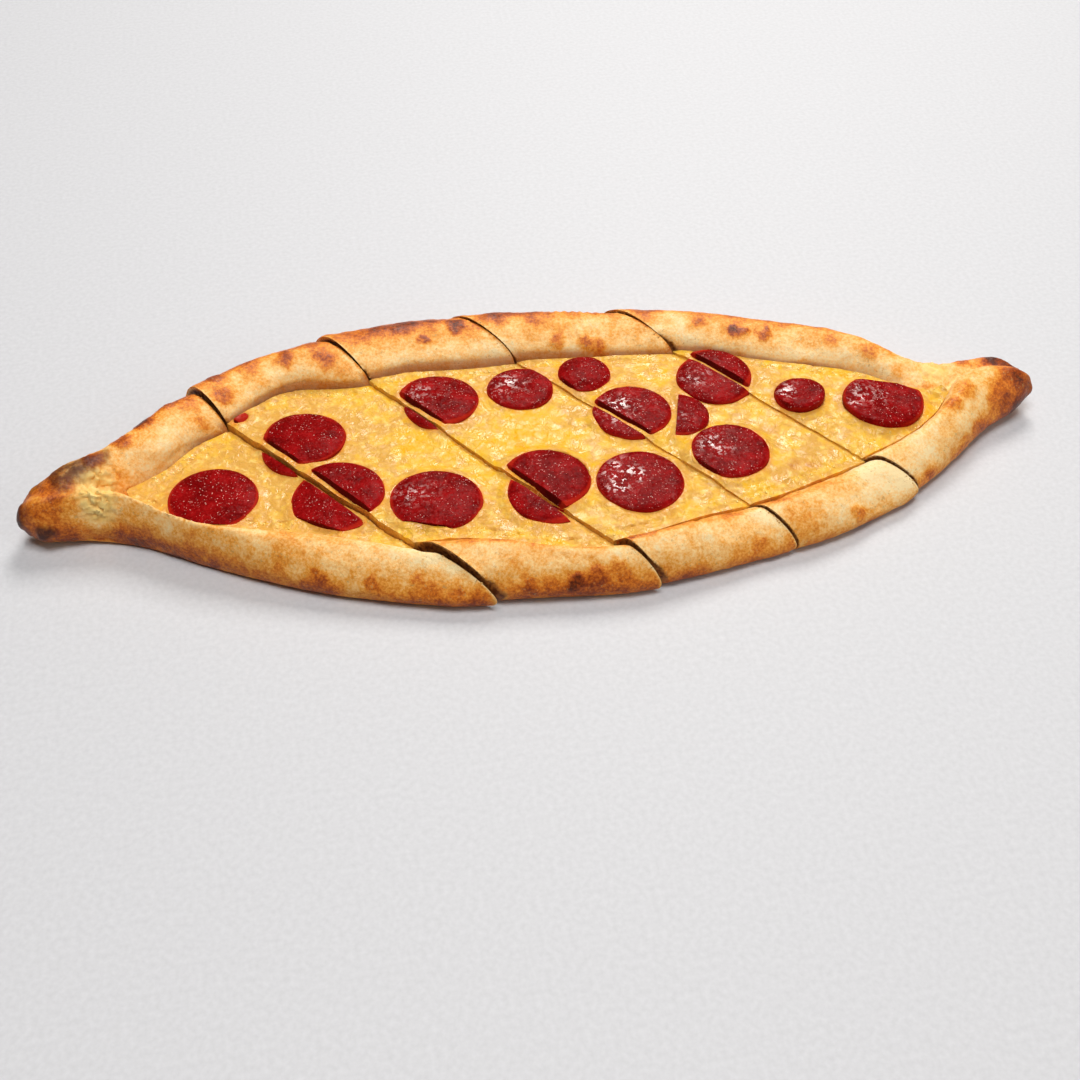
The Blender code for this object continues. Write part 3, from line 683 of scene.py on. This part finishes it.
def crust_skin(number, look, cheese_tree):
    """The shape and browning of one slice's dough."""
    skin = Skin(f"dough_{number}", f"crust_{number}", look.voxel / MM, crease=55)
    cut, gaps = cut_share(skin, "dough", number)
    beside = np.minimum(*gaps)
    edge = cut
    for _ in range(3):
        edge = np.maximum(edge, skin.average(edge))
    skin.relax(5, 0.5 * fade(edge, 0.12, 0.0))
    skin.read_normals()
    points = skin.points.copy()
    x, y, z = points.T
    side = np.where(y < 0, -1.0, 1.0)
    outward = skin.normals[:, 1] * side
    rear = fade(y, 4, 14)
    to_cheese, way = nearest(points, cheese_tree, 12.0)
    above = -way[:, 2]
    wall = fade(to_cheese, 9.0, 2.0) * fade(above, -1.0, 0.6)
    hold = (1 - cut) * fade(z, 0.4, 3.0)
    calm = fade(beside, 0.8, 4.0)

    # Broad swellings and small dimples, flat where the bread lies on its board.
    swell = look.uneven / MM * rough(points, 24, 3) + 0.45 * rough(points, 8, 7) + 0.16 * rough(points, 3, 11, 2)
    swell = swell * calm + 0.7 * rear * fade(z, 8, 16) + 2.8 * fade(x, -191, -202) * fade(y, -2, -9)
    swell = swell - 2.2 * np.exp(-(((x + 180) / 9) ** 2 + ((y + 17) / 6) ** 2))
    swell = swell - 1.6 * np.exp(-(((x - 121) / 10) ** 2 + ((y + 58) / 7) ** 2))
    swell = swell + 2.6 * np.exp(-(((x - 209) / 3.5) ** 2 + ((y + 5) / 3) ** 2 + ((z - 9) / 4) ** 2))
    flat_way = way * (1, 1, 0)
    flat_way /= np.maximum(np.linalg.norm(flat_way, axis=1), 1e-6)[:, None]
    flat = np.linalg.norm(way[:, :2], axis=1)
    lean = look.bulge / MM * fade(flat, 8.0, 3.0) * fade(above, 3.0, 5.0) * fade(above, 10.5, 7.5)
    lean = lean * rear * calm * (0.7 + 0.6 * ripple(points, 20, 15)) * REAR_LEANS[number - 1]
    left_pinch = np.exp(-(((x + 177) / 8) ** 2 + ((y + 7) / 11) ** 2)) * fade(z, 8, 14)
    right_pinch = np.exp(-(((x - 168) / 9) ** 2 + ((y - 8) / 6) ** 2)) * fade(z, 8, 13)
    pinch = np.maximum(left_pinch, 0.6 * right_pinch)
    stray = points + 1.2 * np.stack([ripple(points, 4, i) for i in (5, 6, 7)], axis=1)
    crumple = 0.6 * lumps(stray, 4.6, 21) + 0.4 * lumps(stray, 2.3, 23)
    pleat = np.exp(-(((x - 24) / 12) ** 2)) * fade(y, 48, 54) * np.sin(x * 1.9 + 2 * ripple(points, 9, 4))
    seam = -np.exp(-(((x - 46 - 0.25 * (y + 60)) / 1.1) ** 2)) * fade(y, -68, -58) * fade(y, -48, -54)
    swell = swell + pinch * (3.0 * crumple - 1.2) + 0.28 * pleat + 0.6 * seam
    spots = marks(points, SPOTS)
    chars = marks(points, CHARS)
    swell = swell + 0.35 * fade(spots, 0.25, 0.6) * calm + 0.5 * fade(chars, 0.4, 0.8)
    pores = 1 - fade(lumps(points, 2.6, 41), 0.05, 0.3)
    skin.swell(swell * hold - 0.2 * pores * fade(cut, 0.6, 1.0) * fade(z, 1.0, 3.0))
    skin.points += flat_way * (lean * hold)[:, None]
    rise = np.interp(x, RISE_PLACES, RISE_HEIGHTS) * np.where(x < -170, fade(y, -8, 4), rear) * fade(z, 6, 16)
    skin.points += np.outer(rise, (0, 0.5, 0.87))
    skin.points[:, 2] = np.maximum(skin.points[:, 2], 0.0)

    # Browning: the outer foot and the back of the rims, the lip over the cheese, and the spots.
    front_foot = FRONT_FEET[number - 1]
    top = front_foot * (1 - rear) + 14.0 * rear
    low = fade(z + 1.6 * rough(points, 13, 65), top + 3.0, top - 9.0) * fade(outward, -0.1, 0.5)
    back = rear * fade(y, 14, 34) * fade(outward, -0.4, 0.55) * fade(z, 8.0, 16.0)
    lip_run = np.clip(0.65 + 0.7 * ripple(points, 18, 51), 0, 1) * FRONT_LIPS[number - 1]
    lip = fade(outward, 0.3, -0.2) * fade(z, 11.5, 13.5) * (1 - rear) * lip_run
    # Painted shade: a brown line on the rear rims just above the cheese, where they meet it.
    crease = fade(above, 4.4, 3.0) * wall * rear * fade(y, 14, 24)
    # Partly pale dough and partly a painted highlight: the tops of the front rims are made paler toward each slice's
    # right-hand cut.
    pale_end = fade(gaps[1], 15, 3) * (1 - rear) * fade(outward, 0.95, 0.4)
    pale_end = pale_end + 0.8 * np.exp(-(((x + 162) / 8) ** 2 + ((y - 8) / 7) ** 2))
    pale_end = pale_end + 0.6 * (1 - rear) * fade(x, 100, 118) * fade(x, 165, 145) * fade(z, 8, 12)
    bake = 0.28 + 0.03 * rear - 0.08 * fade(x, 90, 130) + 0.1 * rough(points, 26, 61) + 0.12 * rough(points, 9, 63) - 0.22 * pale_end
    browned = low * (0.44 + 0.12 * rough(points, 9, 66)) + back * (0.34 + 0.26 * rough(points, 13, 67))
    bake = bake + 0.8 * (1 - (1 - browned) * (1 - 0.45 * lip) * (1 - np.minimum(0.85 * spots, 1)))
    bake = bake + 0.05 * (1 - rear) * fade(x, -70, -120) * fade(outward, 0.2, 0.8)
    # Partly paler dough and partly painted light: the inner, front-facing sides of the rear rims are lightened where
    # they lie in shade.
    bake = bake - 0.12 * rear * fade(outward, -0.2, -0.7)
    bake = bake + 0.2 * fade(x, -182, -192) + 0.42 * fade(x, 184, 200) + 0.12 * fade(x, 166, 184) - 0.16 * pinch
    bake = np.where(skin.normals[:, 2] < -0.6, 0.55 + 0.12 * rough(points, 14, 69), bake)
    skin.paint("bake", bake)
    skin.paint("char", 1.1 * chars)
    skin.paint("lump", crumple)
    skin.paint("raw", fade(pinch, 0.2, 0.6) * fade(chars, 0.7, 0.3) * 0.9)
    skin.paint("crease", 0.7 * crease)
    crumbly = fade(beside, 2.4, 1.4) * (1 - cut) * fade(skin.normals[:, 2], 0.2, 0.7) * fade(z, 6, 10)
    skin.paint("sow", crumbly * fade(ripple(points, 9, 71), -0.2, 0.4))
    # Painted shade: the cut faces take the darkened crumb colours.
    skin.paint("cut", cut)
    return skin


class PIDE_OT_crust(bpy.types.Operator):
    """Bake the five slices of dough"""

    bl_idname = "pide.crust"
    bl_label = "Bake the Crust"

    def execute(self, context):
        look = context.scene.pide_crust
        material = crust_material(look)
        cheese_tree = tree_of([f"cheese_{i}" for i in SLICES])
        for number in SLICES:
            crust_skin(number, look, cheese_tree).finish(material, "dough")
        return {"FINISHED"}


# ---------------------------------------------------------------- cheese


def sausage_nodes():
    return sorted(name for name in frame["nodes"] if name.startswith("sausage_"))


def outline_of(node):
    """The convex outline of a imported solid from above, in millimetres."""
    corners = [vertex.co.xy / MM for vertex in frame["nodes"][node].data.vertices]
    return np.array([corners[i] for i in convex_hull_2d(corners)])


def sausage_gap(plan):
    """Distance from each place of the plan to the nearest sausage's outline, negative inside it."""
    field = plan.empty(50.0)
    for node in sausage_nodes():
        outline = outline_of(node)
        middle = outline.mean(axis=0)
        reach = np.linalg.norm(outline - middle, axis=1).max() + 8
        window = plan.near(middle, reach)
        best = np.full(plan.x[window].shape, -1e9)
        for start, end in zip(outline, np.roll(outline, -1, axis=0)):
            edge = end - start
            length = np.linalg.norm(edge)
            if length < 1e-6:
                continue
            normal = np.array((edge[1], -edge[0])) / length
            if normal @ (start - middle) < 0:
                normal = -normal
            away = (plan.x[window] - start[0]) * normal[0] + (plan.y[window] - start[1]) * normal[1]
            best = np.maximum(best, away)
        field[window] = np.minimum(field[window], best)
    return field


# Places where the cheese has run smooth: middle, radius and strength.
POOLS = (
    ((-5, 3.5), 26, 1.0), ((15, 20.5), 14, 0.7), ((-55, 6.5), 18, 0.7), ((30, -9.5), 14, 0.5), ((-125, 16.5), 9, 0.7),
    ((-75, 36.5), 14, 0.5), ((52, 36.5), 12, 0.8), ((60, -1.5), 8, 0.4),
)
# Toasted places of the cheese: middle, radius and strength.
TOASTS = (
    ((92, -34), 5.0, 0.5), ((100, -35), 6.0, 0.5), ((108, -32), 5.0, 0.35), ((84, -40), 6.0, 0.4),
    ((-90, 48), 4.0, 0.4), ((-100, 47), 4.0, 0.3), ((92, -12), 4.0, 0.35), ((-125, 27), 3.0, 0.5),
    ((20, -52), 5.0, 0.35), ((36, -52), 5.0, 0.35), ((135, -28), 5.0, 0.35), ((120, 18), 4.0, 0.3),
)


def pool_sum(points, places):
    total = np.zeros(len(points))
    for (x, y), radius, strength in places:
        distance = np.hypot(points[:, 0] - x, points[:, 1] - y) / radius
        total = np.maximum(total, strength * np.exp(-(distance**2)))
    return total


def lay_strands(plan, seed=5):
    """The relief of grated cheese half melted into a bed, as heights over the plan."""
    random = np.random.default_rng(seed)
    field = plan.empty()
    low, high = plan.low, plan.low + plan.count * plan.step
    count = int((high[0] - low[0]) * (high[1] - low[1]) / 9)
    for _ in range(count):
        centre = random.uniform(low, high)
        turn = random.uniform(0, math.pi)
        length = random.uniform(2.5, 9.0)
        width = random.uniform(1.1, 2.3)
        direction = (math.cos(turn), math.sin(turn))
        plan.lay_strand(field, centre, direction, length, width, random.uniform(0, 0.9), random.uniform(-1.2, 1.2))
    return field


class Bed:
    """The cheese's relief over the whole boat, shared by its slices."""

    def __init__(self):
        self.plan = Plan(0.45)
        places = self.plan.points()
        self.gap = sausage_gap(self.plan)
        strands = self.plan.blur(lay_strands(self.plan), 0.4)
        melted = self.plan.blur(strands, 1.7)
        smooth = 0.9 * pool_sum(places, POOLS) + 0.3 * rough(places, 13, 71)
        smooth = np.clip(smooth, 0.0, 0.85).reshape(strands.shape)
        stray = places + 1.5 * np.stack([ripple(places, 5, i) for i in (91, 92, 93)], axis=1)
        curds = 0.6 * lumps(stray, 3.6, 94) + 0.4 * lumps(stray, 1.9, 95)
        curds = self.plan.blur(curds.reshape(strands.shape), 0.35)
        relief = 0.55 * (strands - melted) + 0.75 * (curds - curds.mean())
        self.ridge = relief * (1 - smooth)
        self.strands = self.ridge + 0.5 * (melted - melted.mean())


# How much of each cut, from left to right, the melted cheese has closed from each of its two sides.
CHEESE_JOIN = (0.0, 0.43, 0.45, 0.45, 0.45, 0.0)


def cheese_skin(number, look, bed, dough_tree):
    """The shape and colours of one slice's cheese."""
    skin = Skin(f"cheese_{number}", f"melt_{number}", look.voxel / MM, crease=55)
    cut, gaps = cut_share(skin, "cheese", number)
    beside = np.minimum(*gaps)
    points = skin.points.copy()
    to_dough, way = nearest(points, dough_tree, 14.0)
    gap = bed.plan.read(bed.gap, points)
    up = fade(skin.normals[:, 2], 0.15, 0.6)
    ridge = bed.plan.read(bed.ridge, points)

    # The sides reach into the crust, and the top rises along the rims and round the sausage.
    sideways = skin.normals * (1, 1, 0)
    reach = 1.3 * (1 - cut) * fade(np.linalg.norm(sideways, axis=1), 0.5, 0.9)
    skin.points += sideways * reach[:, None]
    flat = np.linalg.norm(way[:, :2], axis=1)
    front = fade(points[:, 1], 10, -10)
    bank = (1.5 - 0.6 * front) * fade(flat, 9.0, 1.0) * fade(to_dough, 13.0, 4.0)
    lip = (1.8 + 0.9 * ripple(points, 9, 89)) * np.exp(-((np.maximum(gap, 0) / 4.5) ** 2))
    relief = bed.plan.read(bed.strands, points) * look.relief / MM * fade(gap, -0.2, 1.6)
    relief = relief * fade(flat, 0.0, 2.5) * fade(beside, 0.6, 2.2)
    relief = relief + 0.35 * rough(points, 9, 73) + 0.4 * rough(points, 26, 75)
    rise = look.fill / MM + np.maximum(bank, lip) + relief - 0.45 * fade(beside, 3.0, 0.8)
    rise = rise * fade(gap, -2.2, -0.3)
    skin.points[:, 2] += rise * up
    joined = np.where(gaps[0] < gaps[1], CHEESE_JOIN[number - 1], CHEESE_JOIN[number]) * np.minimum(beside, 2)
    skin.points += sideways * (joined * cut)[:, None]

    yolk = 0.4 + 0.42 * rough(points, 13, 81) + 0.38 * pool_sum(points, POOLS)
    yolk = yolk - 0.3 * fade(flat, 8.0, 0.0) - 0.2 * fade(points[:, 0], -60, -110)
    yolk = yolk + 0.1 * fade(points[:, 0], 20, 60) - 0.12 * fade(gap, 3.0, 0.5)
    skin.paint("yolk", yolk)
    skin.paint("ridge", fade(ridge, -0.05, 0.45))
    skin.paint("toast", pool_sum(points, TOASTS) + 0.2 * fade(flat, 2.5, 0.4) * fade(rough(points, 8, 83), 0.1, 0.6))
    skin.paint("oil", np.exp(-np.maximum(gap, 0) / 1.1) * (0.6 + 0.4 * ripple(points, 5, 85)))
    open_top = fade(gap, 0.3, 0.8) * fade(beside, 0.6, 1.6) * fade(flat, 0.5, 2.0)
    skin.paint("sow", open_top * up * (0.25 + 0.75 * fade(ripple(points, 11, 87), -0.3, 0.5)))
    skin.paint("cut", cut)
    return skin


class PIDE_OT_cheese(bpy.types.Operator):
    """Melt the cheese of the five slices"""

    bl_idname = "pide.cheese"
    bl_label = "Melt the Cheese"

    def execute(self, context):
        look = context.scene.pide_cheese
        material = cheese_material(look)
        bed = Bed()
        dough_tree = tree_of([f"dough_{i}" for i in SLICES])
        for number in SLICES:
            cheese_skin(number, look, bed, dough_tree).finish(material, "cheese")
        return {"FINISHED"}


# ---------------------------------------------------------------- sausage


def circle_of(outline):
    """Centre and radius of the circle on which an outline's corners lie."""
    rows = np.column_stack([2 * outline, np.ones(len(outline))])
    a, b, c = np.linalg.lstsq(rows, (outline**2).sum(axis=1), rcond=None)[0]
    return np.array((a, b)), math.sqrt(max(c + a * a + b * b, 1e-6))


# The slices of sausage on which the most fat stands, by letter, which get painted pinkish-white glints as well as a
# real sheen.
FAT_AND_GLINT = {"e": 0.6, "g": 1.0, "i": 1.0, "k": 1.0, "l": 0.6, "m": 1.0, "n": 1.0, "o": 1.0, "d": 0.5, "j": 0.5, "p": 1.0}


# How far the rims of some slices have curled up, in millimetres.
CUPS = {"o": 1.9, "k": 0.8, "m": 1.0, "g": 0.8, "i": 0.8, "n": 1.0, "l": 0.8, "e": 0.6, "p": -0.6}


def sausage_skin(node, look, seed):
    """The shape of one piece of sausage: a slightly domed disc with a soft edge."""
    skin = Skin(node, node.replace("sausage", "slice"), look.voxel / MM, crease=62)
    centre, radius = circle_of(outline_of(node))
    points = skin.points.copy()
    out = points[:, :2] - centre
    share = np.linalg.norm(out, axis=1) / radius
    up = fade(skin.normals[:, 2], 0.2, 0.8)
    sideways = np.linalg.norm(skin.normals[:, :2], axis=1)
    cut = fade(sideways, 0.75, 0.95) * fade(share, 0.96, 0.9)
    drop = 0.7 * fade(skin.normals[:, 2], -0.3, -0.8)
    letter = node.split("_")[1]
    cup = CUPS.get(letter, 0.2)
    warp = 0.4 * ripple(points, 13, seed) + 0.12 * rough(points, 3.0, seed + 1)
    skin.points[:, 2] += up * (warp - 0.9 * share**3 + 0.3 + cup * (share**2 - 0.5)) - drop
    skin.swell(0.1 + 0.1 * rough(points, 2.2, seed + 2) * up)
    if letter == "p":
        skin.points[:, 2] += 0.4 - 0.3 * (skin.points[:, 2] - skin.points[:, 2].min())
        skin.points[:, :2] += 1.1 * rough(points, 4, seed)[:, None] * fade(share, 0.3, 0.9)[:, None]
    # The rim mask lays the edge colour, partly casing and partly a painted highlight, round each slice; the scrap p
    # takes it all over.
    rim = fade(share, 0.95, 0.99) * fade(skin.normals[:, 2], -0.3, 0.3)
    skin.paint("rim", np.maximum(rim, 1.6 if letter == "p" else 0.0))
    # The patch toward the upper left of each slice is where the painted glints go.
    patch = np.exp(-(((out[:, 0] + 0.45 * radius) ** 2 + (out[:, 1] - 0.2 * radius) ** 2) / (0.5 * radius) ** 2))
    patch = patch * (0.55 + 0.6 * ripple(points, 5, seed + 4)) + 0.12 * fade(ripple(points, 3, seed + 6), 0.2, 0.7)
    inside = fade(share, 0.93, 0.85) * fade(skin.normals[:, 2], 0.7, 0.95) * (1 - cut)
    skin.paint("sow", inside * (0.15 + 0.85 * fade(ripple(points, 6, seed + 3), -0.4, 0.5)))
    skin.paint("greasy", FAT_AND_GLINT.get(letter, 0.0) * patch * fade(skin.normals[:, 2], 0.5, 0.9))
    skin.paint("cut", cut)
    return skin


class PIDE_OT_sausage(bpy.types.Operator):
    """Lay the pieces of sausage"""

    bl_idname = "pide.sausage"
    bl_label = "Lay the Sausage"

    def execute(self, context):
        look = context.scene.pide_sausage
        material = sausage_material(look)
        for seed, node in enumerate(sausage_nodes()):
            sausage_skin(node, look, 100 + 5 * seed).finish(material, "sausage")
        return {"FINISHED"}


# ---------------------------------------------------------------- small things strewn on the pieces


def strewing_tree(name):
    """A tree that strews flattened grains over a surface where its painted share allows."""
    tree = bpy.data.node_groups.new(name, "GeometryNodeTree")
    face = tree.interface
    face.new_socket("Surface", in_out="INPUT", socket_type="NodeSocketGeometry")
    for label, start in (("Density", 1000.0), ("Smallest", 0.0002), ("Largest", 0.0006)):
        face.new_socket(label, in_out="INPUT", socket_type="NodeSocketFloat").default_value = start
    face.new_socket("Shape", in_out="INPUT", socket_type="NodeSocketVector").default_value = (1, 0.7, 0.5)
    face.new_socket("Seed", in_out="INPUT", socket_type="NodeSocketInt").default_value = 1
    face.new_socket("Material", in_out="INPUT", socket_type="NodeSocketMaterial")
    face.new_socket("Grains", in_out="OUTPUT", socket_type="NodeSocketGeometry")

    def add(kind, **settings):
        node = tree.nodes.new(kind)
        for key, value in settings.items():
            setattr(node, key, value)
        return node

    def link(start, end):
        tree.links.new(start, end)

    source = add("NodeGroupInput").outputs
    painted = add("GeometryNodeInputNamedAttribute", data_type="FLOAT")
    painted.inputs["Name"].default_value = "sow"
    wanted = add("ShaderNodeMath", operation="MULTIPLY")
    link(painted.outputs["Attribute"], wanted.inputs[0])
    link(source["Density"], wanted.inputs[1])
    spread = add("GeometryNodeDistributePointsOnFaces", distribute_method="RANDOM")
    link(source["Surface"], spread.inputs["Mesh"])
    link(wanted.outputs[0], spread.inputs["Density"])
    link(source["Seed"], spread.inputs["Seed"])
    size = add("FunctionNodeRandomValue", data_type="FLOAT")
    link(source["Smallest"], next(s for s in size.inputs if s.name == "Min" and s.enabled))
    link(source["Largest"], next(s for s in size.inputs if s.name == "Max" and s.enabled))
    link(source["Seed"], size.inputs["Seed"])
    scale = add("ShaderNodeVectorMath", operation="SCALE")
    link(source["Shape"], scale.inputs[0])
    link(next(s for s in size.outputs if s.enabled), scale.inputs["Scale"])
    spin = add("FunctionNodeRandomValue", data_type="FLOAT_VECTOR")
    next(s for s in spin.inputs if s.name == "Max" and s.enabled).default_value = (0.3, 0.3, math.tau)
    next(s for s in spin.inputs if s.name == "Min" and s.enabled).default_value = (-0.3, -0.3, 0)
    turned = add("FunctionNodeEulerToRotation")
    link(next(s for s in spin.outputs if s.enabled), turned.inputs[0])
    rotation = add("FunctionNodeRotateRotation", rotation_space="LOCAL")
    link(spread.outputs["Rotation"], rotation.inputs[0])
    link(turned.outputs[0], rotation.inputs[1])
    grain = add("GeometryNodeMeshIcoSphere")
    grain.inputs["Radius"].default_value = 1.0
    grain.inputs["Subdivisions"].default_value = 2
    placed = add("GeometryNodeInstanceOnPoints")
    link(spread.outputs["Points"], placed.inputs["Points"])
    link(grain.outputs["Mesh"], placed.inputs["Instance"])
    link(rotation.outputs[0], placed.inputs["Rotation"])
    link(scale.outputs["Vector"], placed.inputs["Scale"])
    real = add("GeometryNodeRealizeInstances")
    link(placed.outputs["Instances"], real.inputs["Geometry"])
    coat = add("GeometryNodeSetMaterial")
    link(real.outputs["Geometry"], coat.inputs["Geometry"])
    link(source["Material"], coat.inputs["Material"])
    link(coat.outputs["Geometry"], add("NodeGroupOutput").inputs["Grains"])
    return tree


def strew(name, start, material, shape, seed, density, smallest, largest):
    """One piece of grains strewn over every finished piece whose name begins with start."""
    bm = bmesh.new()
    for host in sorted(piece.name for piece in bpy.data.objects if piece.name.startswith(start)):
        bm.from_mesh(bpy.data.objects[host].data)
    mesh = bpy.data.meshes.new(name + "_ground")
    bm.to_mesh(mesh)
    bm.free()
    ground = bpy.data.objects.new(name + "_ground", mesh)
    bpy.context.scene.collection.objects.link(ground)
    tree = strewing_tree(name + "_tree")
    modifier = ground.modifiers.new("Strew", "NODES")
    modifier.node_group = tree
    values = {"Density": density / MM**2, "Smallest": smallest * MM, "Largest": largest * MM}
    values.update({"Shape": shape, "Seed": seed, "Material": material})
    for socket in tree.interface.items_tree:
        if socket.in_out == "INPUT" and socket.name in values:
            modifier[socket.identifier] = values[socket.name]
    bpy.context.view_layer.update()
    depsgraph = bpy.context.evaluated_depsgraph_get()
    made = bpy.data.meshes.new_from_object(ground.evaluated_get(depsgraph))
    made.name = name
    ground.modifiers.remove(modifier)
    bpy.data.objects.remove(ground)
    bpy.data.meshes.remove(mesh)
    if not made.vertices:
        raise RuntimeError(f"{name} came out empty")
    for attribute in [a.name for a in made.attributes if a.name not in {"position"} and not a.is_internal]:
        if not attribute.startswith(".") and attribute not in {"sharp_face", "UVMap"}:
            made.attributes.remove(made.attributes[attribute])
    made.shade_smooth()
    return add_piece(name, made, material)


class PideSprinkleSettings(bpy.types.PropertyGroup):
    flecks: bpy.props.FloatProperty(name="Flecks", description="Flecks of fat to a square millimetre", default=0.2)
    beads: bpy.props.FloatProperty(name="Beads", description="Beads of melt to a square millimetre", default=0.16)
    crumbs: bpy.props.FloatProperty(name="Crumbs", description="Crumbs to a square millimetre", default=0.3)
    fleck: colour_property("Fleck", "Flecks of fat", "F0B4AA")
    bead: colour_property("Bead", "Beads of melted cheese", "F8D26C")
    crumb: colour_property("Crumb", "Crumbs along the cuts", "E2AE66")


class PIDE_OT_flecks(bpy.types.Operator):
    """Strew flecks of fat over the sausage"""

    bl_idname = "pide.flecks"
    bl_label = "Strew the Fat"

    def execute(self, context):
        look = context.scene.pide_sprinkles
        fat = plain_material("fat_flecks", look.fleck, 0.15, Specular_IOR_Level=0.9)
        strew("flecks", "slice_", fat, (1.0, 0.55, 0.4), 11, look.flecks, 0.1, 0.36)
        return {"FINISHED"}


class PIDE_OT_beads(bpy.types.Operator):
    """Strew beads of melted cheese and oil over the cheese"""

    bl_idname = "pide.beads"
    bl_label = "Strew the Beads"

    def execute(self, context):
        look = context.scene.pide_sprinkles
        oily = plain_material("cheese_beads", look.bead, 0.15)
        strew("beads", "melt_", oily, (1.0, 0.75, 0.4), 12, look.beads, 0.25, 0.75)
        return {"FINISHED"}


class PIDE_OT_crumbs(bpy.types.Operator):
    """Strew crumbs along the cuts"""

    bl_idname = "pide.crumbs"
    bl_label = "Strew the Crumbs"

    def execute(self, context):
        look = context.scene.pide_sprinkles
        baked = plain_material("crumbs", look.crumb, 0.6)
        strew("crumbs", "crust_", baked, (1.0, 0.8, 0.7), 13, look.crumbs, 0.2, 0.5)
        return {"FINISHED"}


# ---------------------------------------------------------------- stage


class PIDE_OT_stage(bpy.types.Operator):
    """Set the floor, the lights and the camera"""

    bl_idname = "pide.stage"
    bl_label = "Set the Stage"

    def execute(self, context):
        scene = context.scene
        scene.view_settings.view_transform = "Standard"
        self.floor()
        self.light("window", (0.45, 1.25, 1.4), 0.7, 25, "FFFCF6")
        self.light("ceiling", (-0.15, -0.2, 2.0), 0.9, 27, "FFFDFA")
        self.light("filler", (1.4, -0.9, 1.0), 0.9, 7, "FFFAF2")
        world = bpy.data.worlds.new("studio")
        world.use_nodes = True
        world.node_tree.nodes["Background"].inputs["Color"].default_value = (*tone("F8F5F2"), 1)
        world.node_tree.nodes["Background"].inputs["Strength"].default_value = 0.06
        scene.world = world
        camera = bpy.data.objects.new("camera", bpy.data.cameras.new("camera"))
        scene.collection.objects.link(camera)
        camera.data.sensor_width = 36
        camera.data.lens = 48.63
        camera.data.clip_start = 0.01
        camera.location = Vector((-84.52, -432.64, 410.0)) * MM
        pitch = math.radians(46)
        way = Vector((0.18474 * math.cos(pitch), 0.98279 * math.cos(pitch), -math.sin(pitch)))
        camera.rotation_euler = way.to_track_quat("-Z", "Y").to_euler()
        scene.camera = camera
        return {"FINISHED"}

    def floor(self):
        mesh = bpy.data.meshes.new("floor")
        bm = bmesh.new()
        bmesh.ops.create_grid(bm, x_segments=1, y_segments=1, size=6)
        bm.to_mesh(mesh)
        bm.free()
        floor = bpy.data.objects.new("floor", mesh)
        bpy.context.scene.collection.objects.link(floor)
        mesh.materials.append(plain_material("pale_floor", tone("D8D9DE"), 0.6))

    def light(self, name, place, size, power, code):
        lamp = bpy.data.lights.new(name, "AREA")
        lamp.size = size
        lamp.energy = power
        lamp.color = tone(code)
        holder = bpy.data.objects.new(name, lamp)
        bpy.context.scene.collection.objects.link(holder)
        holder.location = place
        holder.rotation_euler = (-Vector(place)).to_track_quat("-Z", "Y").to_euler()


class PIDE_PT_panel(bpy.types.Panel):
    bl_label = "Pide"
    bl_idname = "PIDE_PT_panel"
    bl_space_type = "VIEW_3D"
    bl_region_type = "UI"
    bl_category = "Pide"

    def draw(self, context):
        scene = context.scene
        for settings, operator in (
            (scene.pide_crust, "pide.crust"),
            (scene.pide_cheese, "pide.cheese"),
            (scene.pide_sausage, "pide.sausage"),
            (scene.pide_sprinkles, "pide.flecks"),
        ):
            box = self.layout.box()
            for key in settings.bl_rna.properties.keys():
                if key not in {"rna_type", "name"}:
                    box.prop(settings, key)
            box.operator(operator)
        for operator in ("pide.beads", "pide.crumbs", "pide.stage"):
            self.layout.operator(operator)


SETTINGS = {
    "pide_crust": PideCrustSettings,
    "pide_cheese": PideCheeseSettings,
    "pide_sausage": PideSausageSettings,
    "pide_sprinkles": PideSprinkleSettings,
}
CLASSES = (
    *SETTINGS.values(),
    PIDE_OT_crust,
    PIDE_OT_cheese,
    PIDE_OT_sausage,
    PIDE_OT_flecks,
    PIDE_OT_beads,
    PIDE_OT_crumbs,
    PIDE_OT_stage,
    PIDE_PT_panel,
)


def register():
    for cls in CLASSES:
        bpy.utils.register_class(cls)
    for name, group in SETTINGS.items():
        setattr(bpy.types.Scene, name, bpy.props.PointerProperty(type=group))


def unregister():
    for name in SETTINGS:
        delattr(bpy.types.Scene, name)
    for cls in reversed(CLASSES):
        bpy.utils.unregister_class(cls)


def main():
    register()
    bpy.ops.pide.crust()
    bpy.ops.pide.cheese()
    bpy.ops.pide.sausage()
    bpy.ops.pide.flecks()
    bpy.ops.pide.beads()
    bpy.ops.pide.crumbs()
    bpy.ops.pide.stage()


if __name__ == "__main__":
    main()
